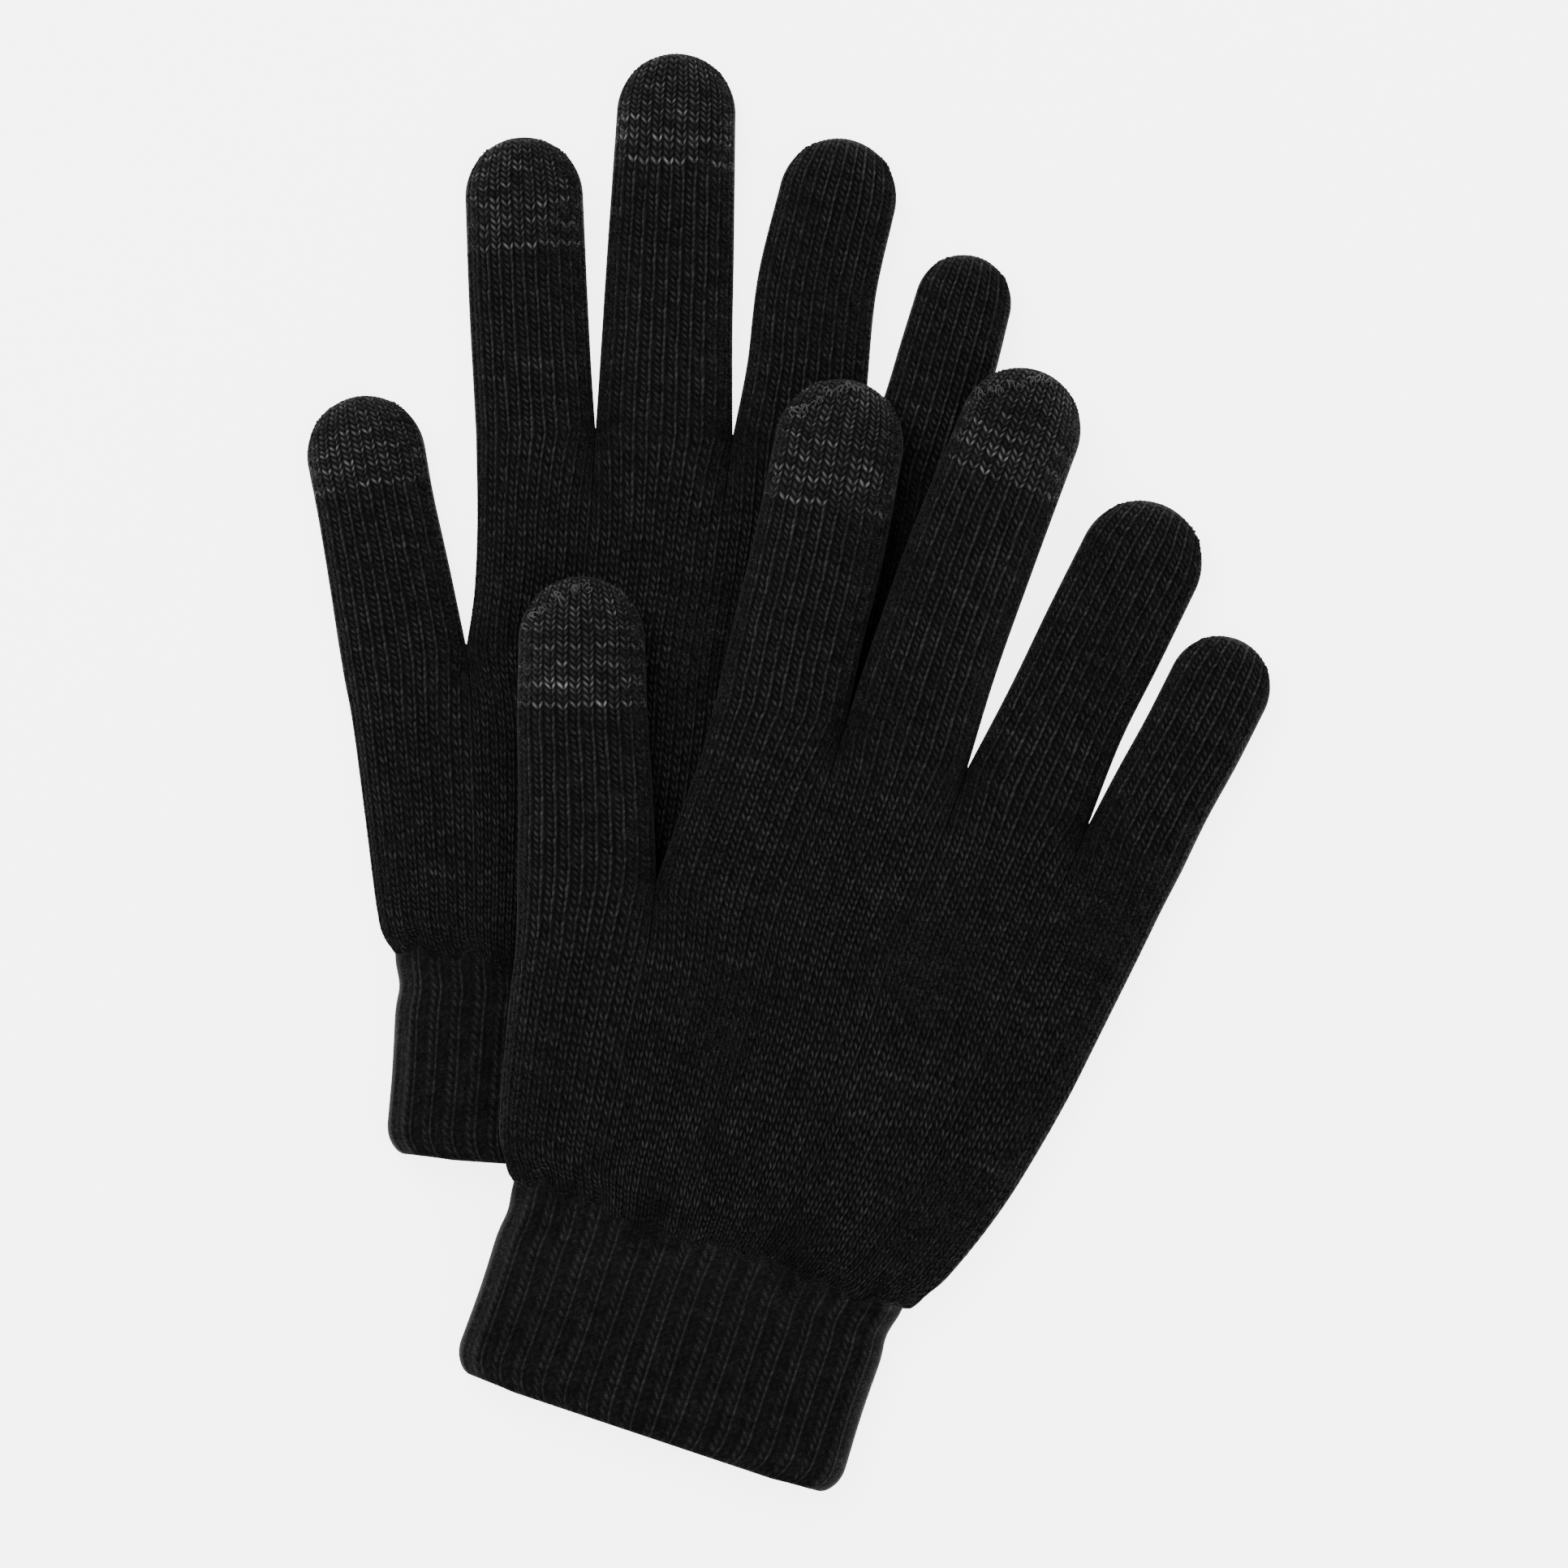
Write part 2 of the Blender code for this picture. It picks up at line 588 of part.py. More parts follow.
def main():
    clear_scene()
    hands = [Hand("under"), Hand("over")]
    for hand in hands:
        hand.build()
    shift = pair_shift(hands)
    for hand in hands:
        origin = make_empty(f"{hand.name}_glove", Vector((0.0, 0.0, 0.0)), None)
        empties = {}
        for joint, (pivot, _) in hand.hinges().items():
            parent = empties.get(joint.replace("_knuckle", "_root"), origin)
            empties[joint] = make_empty(f"{joint}_axis", pivot * MM - shift, parent)
        for node, (mesh, kind) in hand.meshes.items():
            make_node(node, mesh, kind, empties.get(parent_joint(hand, node), origin), shift)


main()
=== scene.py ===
"""Looks of a pair of knitted touchscreen gloves, one lying partly over the other.

Every stitch is geometry. A glove is drawn in its own plan in millimetres (origin at the middle of
the wrist, +Y towards the fingertips) as strips of knit, one for each digit, which run from the
wrist to the fingertip. A strip is a grid of wales (columns of stitches) and courses (rows), and
the relief of its stitches is laid on it along the normal. The strips are then cut at the joints.
"""
import math

import bpy
import numpy as np
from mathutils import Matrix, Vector
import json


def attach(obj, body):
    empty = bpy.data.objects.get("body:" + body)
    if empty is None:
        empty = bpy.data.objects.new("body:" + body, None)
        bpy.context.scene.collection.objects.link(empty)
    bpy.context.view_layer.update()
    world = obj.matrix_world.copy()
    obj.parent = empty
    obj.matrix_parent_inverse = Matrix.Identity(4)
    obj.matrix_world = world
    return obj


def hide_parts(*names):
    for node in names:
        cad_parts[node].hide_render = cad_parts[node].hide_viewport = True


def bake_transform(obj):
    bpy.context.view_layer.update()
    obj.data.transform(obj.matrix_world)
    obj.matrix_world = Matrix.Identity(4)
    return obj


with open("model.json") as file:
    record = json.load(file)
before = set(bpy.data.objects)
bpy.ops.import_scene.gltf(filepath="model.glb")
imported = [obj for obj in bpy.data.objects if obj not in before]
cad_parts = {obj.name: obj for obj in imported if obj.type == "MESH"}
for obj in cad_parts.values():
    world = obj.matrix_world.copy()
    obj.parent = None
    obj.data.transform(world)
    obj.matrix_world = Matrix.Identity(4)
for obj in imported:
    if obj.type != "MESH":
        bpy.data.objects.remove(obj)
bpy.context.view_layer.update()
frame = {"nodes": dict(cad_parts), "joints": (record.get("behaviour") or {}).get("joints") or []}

MM = 0.001

# ---- the design, as in the CAD source, millimetres -------------------------------------------------
THICKNESS = 10.0
KNIT_WALL = 1.6
MIDLINE = THICKNESS * 0.42    # height of the side outlines
CUFF_LENGTH = 36.0
HEM_END = -CUFF_LENGTH - 3.7
HEM_CORNER = 6.5
DRAPE_CLEARANCE = 1.0
DRAPE_SHELF = 4.0
DRAPE_REACH = 34.0
TIP_CAP_SHARE = 1.02
DIGIT_ROUNDNESS = 2.6
DIGIT_WIDTH = 25.0
ROOT_TURN = 2.5               # a digit turns square to its centreline over 1 / 2.5 of its length
DIRECTION_STEP = 0.02

FINGERS = ("index", "middle", "ring", "little")
DIGITS = ("thumb",) + FINGERS
CONDUCTIVE = ("thumb", "index", "middle")
FIXED_ROOTS = ("under_ring", "under_little")      # the over glove lies on their roots
KNUCKLE_SHARE = {"thumb": 0.46, "index": 0.46, "middle": 0.46, "ring": 0.47, "little": 0.6}

# Each glove's plan. The palm's sides run up from the wrist to the thumb's root (left, right) and on
# to the fingers' roots (upper_left, upper_right). A station is a point of a digit's centreline and
# its half-width there; wrist is where the plan's origin lies in the pair, and tilt is its turn.
UNDER = {
    "tilt": 4.0,
    "wrist": (-39.1, -38.5),
    "left": [(-38.6, 0.0), (-40.8, 3.0), (-42.8, 8.5), (-46.6, 27.5), (-50.5, 46.5), (-52.9, 55.0)],
    "right": [(40.0, 0.0), (43.0, 3.0), (47.5, 9.5), (53.0, 26.5), (57.5, 46.5), (59.5, 61.2)],
    "upper_left": [(-28.8, 61.2), (-28.0, 72.0), (-28.4, 86.0), (-29.8, 102.8)],
    "upper_right": [(59.5, 61.2), (61.8, 75.0), (64.0, 88.0), (66.5, 99.5)],
    "cuff_half": (39.2, 38.6, 38.8),
    "cuff_centre": 1.0,
    "crotches": [(-6.4, 105.4), (20.6, 106.0), (46.5, 104.2)],
    "tip_length": {"thumb": 19.0, "index": 21.8, "middle": 21.1},
    "stations": {
        "thumb": [(-44.6, 73.0, 12.0), (-48.5, 87.6, 11.6), (-51.0, 97.2, 11.7)],
        "index": [(-19.6, 115.5, 11.7), (-21.5, 131.0, 11.7), (-23.6, 150.2, 11.6)],
        "middle": [(6.4, 124.0, 12.9), (5.9, 141.0, 12.5), (5.1, 168.6, 11.7)],
        "ring": [(34.4, 120.0, 12.0), (35.1, 137.0, 11.8), (37.9, 154.3, 11.6)],
        "little": [(59.6, 114.5, 9.9), (62.0, 125.5, 9.8), (64.0, 135.3, 9.5)],
    },
}
OVER = {
    "tilt": 18.5,
    "wrist": (-15.8, -93.0),
    "left": [(-40.3, 0.0), (-43.0, 3.5), (-46.3, 9.0), (-51.4, 29.0), (-54.9, 45.5), (-58.4, 56.2)],
    "right": [(40.2, 0.0), (43.2, 3.2), (47.0, 9.5), (53.0, 26.5), (57.8, 48.5), (60.1, 64.5)],
    "upper_left": [(-32.4, 64.5), (-32.2, 78.0), (-31.9, 91.0), (-32.6, 102.0)],
    "upper_right": [(60.1, 64.5), (62.0, 78.0), (63.6, 90.0), (65.0, 99.0)],
    "cuff_half": (40.2, 39.6, 40.0),
    "cuff_centre": -0.4,
    "crotches": [(-7.0, 105.0), (18.4, 104.7), (44.6, 101.7)],
    "tip_length": {"thumb": 25.5, "index": 25.5, "middle": 22.0},
    "stations": {
        "thumb": [(-50.5, 75.0, 13.2), (-56.2, 90.0, 12.8), (-61.2, 104.5, 12.4)],
        "index": [(-21.5, 119.5, 12.8), (-22.9, 136.0, 12.8), (-25.6, 157.0, 12.6)],
        "middle": [(5.4, 124.0, 12.5), (5.8, 145.0, 12.5), (7.1, 171.0, 12.0)],
        "ring": [(33.4, 121.0, 12.2), (35.7, 138.0, 12.3), (37.9, 153.9, 12.2)],
        "little": [(56.5, 112.0, 10.1), (58.7, 124.0, 10.1), (60.4, 135.6, 10.1)],
    },
}
GLOVES = {"under": UNDER, "over": OVER}

# ---- the knit --------------------------------------------------------------------------------------
WALES = {"thumb": 12, "index": 12, "middle": 12, "ring": 12, "little": 10}
LOWER_COURSES = 39           # wrist to thumb crotch
UPPER_COURSES = 28           # thumb crotch to finger roots
DIGIT_COURSE = 1.3           # millimetres
SUB_ROWS = 4                 # grid rows in a course
TIP_CAP_EXTRA = 3.0          # millimetres of knit round a fingertip beyond its plan length
LEG_COLUMNS = (0.0, 0.14, 0.26, 0.38, 0.5, 0.62, 0.71, 0.79, 0.87)   # grid columns in a wale
LEG_SPLIT = 0.62             # the slanting left leg lies below this share of the wale
WALE_STEP = 20.0             # sets the yarn noise of neighbouring digits apart
BOTTOM_STEP = 3              # the lower face keeps every third column
SHEAR = 1.05                 # courses that a leg rises over its side of the wale
PLAIN_DEPTH = 0.62           # millimetres from valley to leg top
PLATED_DEPTH = 0.5
BOTTOM_DEPTH = 0.35
VALLEY_COURSES = 11          # the valleys between fingers start this far below the crotch
THUMB_VALLEY_COURSES = 10
TIP_BANDS = (0.85, 0.14, 0.2, 0.75, 0.55, 0.12, 0.6, 0.3, 0.12, 0.55, 0.18, 0.12, 0.4, 0.3, 0.15, 0.35,
             0.2, 0.3, 0.25)     # how much silvery yarn shows in each course of a conductive tip
SIDE_BLUR_LEFT = 1.7         # stitches get lost in fuzz towards a side outline over this many wales
SIDE_BLUR_RIGHT = 2.7
CROTCH_SHADE = 5.5           # width of the painted shade round each crotch, millimetres
SEAM_CALM = 11.0             # courses over which wales turn at the thumb crotch
EDGE_FADE_WALES = 1.3        # stitches flatten towards a side outline over this many wales
BOTTOM_EDGE = 5.0
INNER_ROW_STEP = 8           # the inner face keeps every eighth row
INNER_VALUES = {"relief": 0.35, "tone": 0.0, "plated": 0.0, "wale": 0.0, "course": 0.0, "clear": 0.3}
BEND_LENGTH = 12.0

RIBS = 18
RIB_COLUMNS = (0.0, 0.07, 0.14, 0.21, 0.29, 0.37, 0.44, 0.5, 0.56, 0.65, 0.74, 0.83, 0.92)
RIB_OFFSET = 0.2             # the first rib starts this far into its own width
RIB_CREST = 0.3
RIB_SLANT_END = 0.37         # shares of a rib: slanting legs, upright legs up to here, then purl
RIB_FACE_END = 0.62
RIB_DEPTH = 0.75
GATHER_DEPTH = 0.3
GATHER_REACH = 16.0
CUFF_COURSE = 1.6
CUFF_EDGE = 9.0
LOOPS = 16                   # closing loops on a conductive tip
LOOP_POINTS = 11
LOOP_SIDES = 6
LOOP_RADIUS = 0.145
WRIST_BLEND = 8.0            # the cuff takes on the palm's section over this length
ROLL = 0.8                   # radius of the hem's edge
ROLL_STEPS = (0.05, 0.2, 0.45)        # more rows round the hem's edge, as shares of the roll


def smooth(share):
    """0 to 1 with soft ends."""
    share = np.clip(share, 0.0, 1.0)
    return share * share * (3.0 - 2.0 * share)


def ridge(place, crest, half, power):
    """A rounded ridge: 1 at its crest, 0 at a half-width to each side."""
    return np.clip(1 - np.abs(place - crest) / half, 0, 1) ** power


def lengths_along(points):
    return np.linalg.norm(np.diff(np.array(points, float), axis=0), axis=1)


def curve(points, shares):
    """A Catmull-Rom curve through the points; shares run 0 to 1 by length."""
    points = np.array(points, float)
    padded = np.vstack([2 * points[0] - points[1], points, 2 * points[-1] - points[-2]])
    lengths = lengths_along(points)
    ends = np.concatenate([[0.0], np.cumsum(lengths)])
    target = np.clip(shares, 0.0, 1.0) * ends[-1]
    span = np.clip(np.searchsorted(ends, target, side="right") - 1, 0, len(lengths) - 1)
    t = ((target - ends[span]) / lengths[span])[..., None]
    p0, p1, p2, p3 = (padded[span + k] for k in range(4))
    return 0.5 * (2 * p1 + (p2 - p0) * t + (2 * p0 - 5 * p1 + 4 * p2 - p3) * t ** 2
                  + (3 * p1 - p0 - 3 * p2 + p3) * t ** 3)


def corner_shares(points):
    """Where the corners of a line of points lie, as shares of its length."""
    lengths = lengths_along(points)
    return np.concatenate([[0.0], np.cumsum(lengths)]) / lengths.sum()


def unit(vectors):
    return vectors / np.maximum(np.linalg.norm(vectors, axis=-1, keepdims=True), 1e-9)


def repeated(places, count):
    """Grid columns: the places within one wale or rib, repeated, and the last edge."""
    return np.append((np.arange(count)[:, None] + np.array(places)).ravel(), count)


def grid_normal(points):
    """Normals of a grid of points whose rows and columns turn anticlockwise."""
    return unit(np.cross(np.gradient(points, axis=1), np.gradient(points, axis=0)))


# ---- placing in the pair ---------------------------------------------------------------------------
def to_pair(glove, points):
    """Plan points of one glove, turned and moved to where it lies in the pair's plan."""
    angle = math.radians(glove["tilt"])
    x, y = points[..., 0], points[..., 1]
    return np.stack([
        glove["wrist"][0] + x * math.cos(angle) + y * math.sin(angle),
        glove["wrist"][1] - x * math.sin(angle) + y * math.cos(angle),
    ], axis=-1)


def palm_top(glove, part):
    """Corners of the line that ends the lower part of the palm, or the upper part."""
    if part == "lower":
        return [glove["left"][-1], glove["upper_left"][0], glove["right"][-1]]
    return [glove["upper_left"][-1], *glove["crotches"], glove["upper_right"][-1]]


def root_half(glove, digit):
    """Half the width of a digit where it leaves the palm."""
    return np.linalg.norm(np.subtract(*root_line(glove, digit))) / 2


def root_line(glove, digit):
    """The two ends of the line where a digit leaves the palm."""
    if digit == "thumb":
        return np.array(palm_top(glove, "lower")[:2], float)
    place = FINGERS.index(digit)
    return np.array(palm_top(glove, "upper")[place:place + 2], float)


def centreline(glove, digit):
    """Stations (x, y, half-width) from a digit's root to where its rounded end starts."""
    left, right = root_line(glove, digit)
    centre = (left + right) / 2
    root = (centre[0], centre[1], np.linalg.norm(right - left) / 2)
    return np.array([root] + glove["stations"][digit], float)


def body_length(glove, digit):
    return float(lengths_along(centreline(glove, digit)[:, :2]).sum())


def outline(glove):
    """Corners of the cuff and palm in the pair's plan."""
    centre, half = glove["cuff_centre"], glove["cuff_half"][2]
    points = [(centre - half, HEM_END)] + glove["left"] + glove["upper_left"][1:]
    points += glove["crotches"] + (glove["right"] + glove["upper_right"][1:])[::-1]
    points += [(centre + half, HEM_END)]
    return to_pair(glove, np.array(points, float))


def segment_distance(points, a, b):
    """Distance from points to the straight line between a and b."""
    along = b - a
    share = np.clip(((points - a) @ along) / (along @ along), 0.0, 1.0)
    return np.linalg.norm(points - (a + share[..., None] * along), axis=-1)


def inside(points, corners):
    """Whether points lie inside a closed outline."""
    count = np.zeros(points.shape[:-1], int)
    for a, b in zip(corners, np.roll(corners, -1, axis=0)):
        crosses = (a[1] > points[..., 1]) != (b[1] > points[..., 1])
        rise = b[1] - a[1] if abs(b[1] - a[1]) > 1e-9 else 1e-9
        count += crosses & (points[..., 0] < a[0] + (points[..., 1] - a[1]) / rise * (b[0] - a[0]))
    return count % 2 == 1


UNDER_OUTLINE = outline(UNDER)


def drape(points):
    """How high the over glove's lower face lies at points of the pair's plan."""
    distance = np.full(points.shape[:-1], 1e9)
    for a, b in zip(UNDER_OUTLINE, np.roll(UNDER_OUTLINE, -1, axis=0)):
        distance = np.minimum(distance, segment_distance(points, a, b))
    for digit in FINGERS:
        stations = centreline(UNDER, digit)
        places = to_pair(UNDER, stations[:, :2])
        halves = stations[:, 2]
        for k in range(len(places) - 1):
            half = (halves[k] + halves[k + 1]) / 2
            distance = np.minimum(distance, segment_distance(points, places[k], places[k + 1]) - half)
    distance = np.where(inside(points, UNDER_OUTLINE), 0.0, np.maximum(distance, 0.0))
    return (THICKNESS + DRAPE_CLEARANCE) * (1.0 - smooth((distance - DRAPE_SHELF) / DRAPE_REACH))


def joint(name):
    return next(j for j in frame["joints"] if j["name"] == name)


def pair_shift():
    """What the CAD took off the pair's plan to centre it: known from one hinge."""
    left, right = root_line(OVER, "index")
    pivot = to_pair(OVER, (left + right) / 2)
    return pivot * MM - np.array(joint("over_index_root")["pos_m"][:2])


SHIFT = pair_shift()


def in_metres(points):
    """Places of the pair's plan in millimetres, in the frame."""
    points = points * MM
    points[..., :2] -= SHIFT
    return points


# ---- profiles across a strip -----------------------------------------------------------------------
def crown(distance, radius):
    """0 at an outline, 1 past its rounded zone."""
    reach = 1.0 - np.clip(distance / radius, 0.0, 1.0)
    return np.sqrt(1.0 - reach ** DIGIT_ROUNDNESS)


def keel(distance):
    """The same for the lower face, whose edge is a quarter ellipse."""
    reach = 1.0 - np.clip(distance / BOTTOM_EDGE, 0.0, 1.0)
    return np.sqrt(1.0 - reach ** 2)


def arc_shift():
    """How far a column moves across its strip to keep wales even along a rounded left edge."""
    x = np.concatenate([[0.0], np.geomspace(1e-5, 1.0, 400)])
    height = (THICKNESS - MIDLINE) * crown(x * DIGIT_WIDTH, DIGIT_WIDTH / 2)
    steps = np.hypot(np.diff(x) * DIGIT_WIDTH, np.diff(height))
    arc = np.concatenate([[0.0], np.cumsum(steps)])
    return arc / arc[-1], x


ARC_SHARE, ARC_PLACE = arc_shift()


def even_columns(share, left, right):
    """Column places for even wales, with each side's edge weight from 0 (none) to 1."""
    from_left = np.interp(share, ARC_SHARE, ARC_PLACE) - share
    from_right = -(np.interp(1 - share, ARC_SHARE, ARC_PLACE) - (1 - share))
    return share + left * from_left + right * from_right


def blurred_down(values, spread):
    """Values smoothed along the rows of a grid."""
    reach = int(3 * spread)
    weights = np.exp(-0.5 * (np.arange(-reach, reach + 1) / spread) ** 2)
    padded = np.concatenate([np.repeat(values[:1], reach, 0), values, np.repeat(values[-1:], reach, 0)])
    total = sum(w * padded[k:k + len(values)] for k, w in enumerate(weights))
    return total / weights.sum()


def runs(random, courses, wales):
    """Noise that lasts for several stitches along a course, as yarn colour does."""
    raw = random.normal(0, 1, (courses, wales + 8))
    mixed = sum(raw[:, k:k + wales] * w for k, w in enumerate((0.3, 0.6, 0.9, 1.0, 0.9, 0.6, 0.3)))
    return np.clip(0.15 * (mixed / mixed.std()) ** 3, -0.7, 3.0)


# ---- one glove's strips ----------------------------------------------------------------------------
class Strip:
    """The knit of one digit, from the wrist to the fingertip."""

    def __init__(self, glove, digit, seed):
        self.glove = glove
        self.digit = digit
        self.wales = WALES[digit]
        self.root = LOWER_COURSES if digit == "thumb" else LOWER_COURSES + UPPER_COURSES
        self.body = body_length(self.glove, digit)
        self.cap = self.glove["stations"][digit][-1][2] * TIP_CAP_SHARE
        cap_arc = self.cap + TIP_CAP_EXTRA
        self.body_courses = self.body / DIGIT_COURSE
        self.courses = int(round(self.root + self.body_courses + cap_arc / DIGIT_COURSE))
        self.cap_courses = self.courses - self.root - self.body_courses
        self.build(np.random.default_rng(seed))

    def span(self):
        """The strip's share of the lower palm's columns, and of the upper palm's."""
        first = corner_shares(palm_top(self.glove, "lower"))[1]
        if self.digit == "thumb":
            return (0.0, first), None
        upper = corner_shares(palm_top(self.glove, "upper"))
        place = FINGERS.index(self.digit)
        low, high = upper[place], upper[place + 1]
        return (first + (1 - first) * low, first + (1 - first) * high), (low, high)

    def palm_place(self, part, column, along):
        """Plan places, and the strip's width, at shares across the strip and up a part of the palm."""
        glove = self.glove
        prefix, span = ("", self.span()[0]) if part == "lower" else ("upper_", self.span()[1])
        left, right = glove[prefix + "left"], glove[prefix + "right"]
        corners = np.array(palm_top(glove, part), float)
        across = (span[0] + (span[1] - span[0]) * column)[..., None]
        start, end = curve(left, along), curve(right, along)
        shares = corner_shares(corners)
        bend = np.stack([np.interp(across[..., 0], shares, corners[:, k]) for k in (0, 1)], axis=-1)
        bend = bend - (corners[0] + (corners[-1] - corners[0]) * across)
        width = np.linalg.norm(end - start, axis=-1) * (span[1] - span[0])
        return start + (end - start) * across + bend * along[..., None] ** 2, width

    def digit_frame(self, share):
        """Centre, direction across and half-width at shares along the digit."""
        stations = centreline(self.glove, self.digit)
        here = curve(stations, share)
        ahead = curve(stations, share + DIRECTION_STEP) - curve(stations, share - DIRECTION_STEP)
        forward = unit(ahead[..., :2])
        left, right = root_line(self.glove, self.digit)
        square = np.stack([forward[..., 1], -forward[..., 0]], axis=-1)
        turn = smooth(share * ROOT_TURN)[..., None]
        across = unit(unit(right - left) * (1 - turn) + square * turn)
        return here[..., :2], across, here[..., 2]

    def edge_weights(self, courses):
        """How much each side of the strip is an outline: 0 inside the palm, 1 where it is free."""
        valley, thumb = (
            np.clip((courses - crotch + reach) / reach, 0, 1) ** 1.6
            for crotch, reach in ((LOWER_COURSES + UPPER_COURSES, VALLEY_COURSES),
                                  (LOWER_COURSES, THUMB_VALLEY_COURSES)))
        left = {"thumb": np.ones_like(courses), "index": thumb}.get(self.digit, valley)
        right = {"thumb": thumb, "little": np.ones_like(courses)}.get(self.digit, valley)
        return left, right

    def locate(self, share, courses):
        """Plan places, and the heights of the upper and lower faces, at wale shares and courses."""
        left, right = self.edge_weights(courses)
        column = even_columns(share, left, right)
        place = np.zeros(share.shape + (2,))
        high = np.zeros(share.shape)
        low = np.zeros(share.shape)
        radius = root_half(self.glove, self.digit)

        in_lower = courses <= LOWER_COURSES
        in_upper = (courses > LOWER_COURSES) & (courses <= self.root)
        for part, mask, along in (
            ("lower", in_lower, courses / LOWER_COURSES),
            ("upper", in_upper, (courses - LOWER_COURSES) / UPPER_COURSES),
        ):
            if not mask.any():
                continue
            c = column[mask]
            place[mask], width = self.palm_place(part, c, along[mask])
            wl, wr = left[mask], right[mask]
            dl, dr = c * width, (1 - c) * width
            high[mask] = (1 - wl * (1 - crown(dl, radius))) * (1 - wr * (1 - crown(dr, radius)))
            low[mask] = (1 - wl * (1 - keel(dl))) * (1 - wr * (1 - keel(dr)))

        past = courses - self.root
        in_digit = (courses > self.root) & (past <= self.body_courses)
        if in_digit.any():
            centre, across, half = self.digit_frame(past[in_digit] / self.body_courses)
            c = column[in_digit]
            place[in_digit] = centre + across * ((2 * c - 1) * half)[..., None]
            high[in_digit] = np.sqrt(1 - np.abs(2 * c - 1) ** DIGIT_ROUNDNESS)
            low[in_digit] = keel(np.minimum(c, 1 - c) * 2 * half)

        in_cap = past > self.body_courses
        if in_cap.any():
            up = (past[in_cap] - self.body_courses) / self.cap_courses
            up = 1.0 - np.interp(1.0 - np.clip(up, 0, 1), ARC_SHARE, ARC_PLACE)
            centre, across, half = self.digit_frame(np.ones_like(up))
            forward = np.stack([-across[..., 1], across[..., 0]], axis=-1)
            x = 2 * column[in_cap] - 1
            side = x * np.sqrt(1 - up ** 2 / 2)
            rise = up * np.sqrt(1 - x ** 2 / 2)
            place[in_cap] = (centre + across * (side * half)[..., None]
                             + forward * (rise * half * TIP_CAP_SHARE)[..., None])
            reach = np.clip(np.hypot(side, rise), 0, 1)
            high[in_cap] = np.sqrt(1 - reach ** DIGIT_ROUNDNESS)
            low[in_cap] = keel((1 - reach) * half)

        return place, MIDLINE + (THICKNESS - MIDLINE) * high, MIDLINE * (1 - low)

    def seam_window(self, rows, columns):
        """Where wales may turn gently at the thumb crotch's level: not beside the crotch itself."""
        offset = {"thumb": self.wales - columns, "index": columns}.get(self.digit, columns + 12.0)
        return smooth(1 - np.abs(rows - LOWER_COURSES) / SEAM_CALM) ** 0.5 * smooth(offset / 5.0)

    def build(self, random):
        """Lays out the grid: each point's place, its stitch and the stitch's own chance values."""
        rows, columns = np.meshgrid(np.arange(self.courses * SUB_ROWS + 1) / SUB_ROWS,
                                    repeated(LEG_COLUMNS, self.wales), indexing="ij")
        leg = columns % 1.0
        shear = np.where(leg < LEG_SPLIT, SHEAR * (0.5 - leg / LEG_SPLIT),
                         SHEAR * ((leg - LEG_SPLIT) / (1 - LEG_SPLIT) - 0.5))
        calm = np.clip(np.minimum(rows, self.courses - rows) / 1.5, 0, 1)
        stitch_j = np.floor(rows + 1e-6).astype(int)
        stitch_i = np.minimum(np.floor(columns + 1e-6).astype(int), self.wales - 1)
        shape = (self.courses + 2, self.wales)
        push = random.normal(0, 1, shape)[stitch_j, stitch_i]
        # The yarn's uneven dye; painted shade is added to it in knit_strip.
        tone = (0.8 * random.normal(0, 1, shape) + runs(random, *shape))[stitch_j, stitch_i]
        plump = random.normal(0, 1, shape)[stitch_j, stitch_i]
        wander = np.zeros_like(rows)
        for period in (9.0, 17.0, 31.0):
            phase = random.uniform(0, math.tau, self.wales)[stitch_i]
            wander += np.sin(rows / period * math.tau + phase) / 3

        inner = np.clip(np.minimum(columns, self.wales - columns) / 0.5, 0, 1)    # 0 on a strip's edge
        slip = random.normal(0, 0.17, self.wales)[stitch_i]
        phase = random.uniform(0, math.tau, self.wales)[stitch_i]
        slip = np.clip(slip + 0.24 * np.sin(rows / 14.0 * math.tau + phase), -0.4, 0.4) * inner
        courses = np.clip(rows + (shear + slip) * calm, 0, self.courses)
        within = np.sin(np.clip(leg, 0, 1) * math.pi)
        self.palm = smooth((self.root - rows) / 12.0)
        kink = (0.035 + 0.04 * self.palm) * np.sin((rows % 1.0) * math.tau)
        kink = np.where(leg >= LEG_SPLIT, kink, 0.0)
        sideways = (kink + 0.06 * wander + 0.035 * np.clip(push, -2, 2) * within) * inner
        share = np.clip((columns + sideways) / self.wales, 0, 1)

        self.place, self.high, self.low = self.locate(share, courses)
        self.smooth_place, self.smooth_high, self.smooth_low = self.locate(columns / self.wales, rows)
        turn = blurred_down(self.smooth_place, 3.5 * SUB_ROWS) - self.smooth_place
        turn *= self.seam_window(rows, columns)[..., None]
        self.place += turn
        self.smooth_place += turn
        self.row_grid, self.column_grid, self.leg = rows, columns, leg
        self.tone, self.plump, self.course_grid = tone, plump, courses
        self.left, self.right = self.edge_weights(courses)


def over_course(sub, *heights):
    """Heights at the quarters of a course, repeated from course to course."""
    return np.interp(sub, np.linspace(0.0, 1.0, SUB_ROWS + 1), heights + heights[:1])


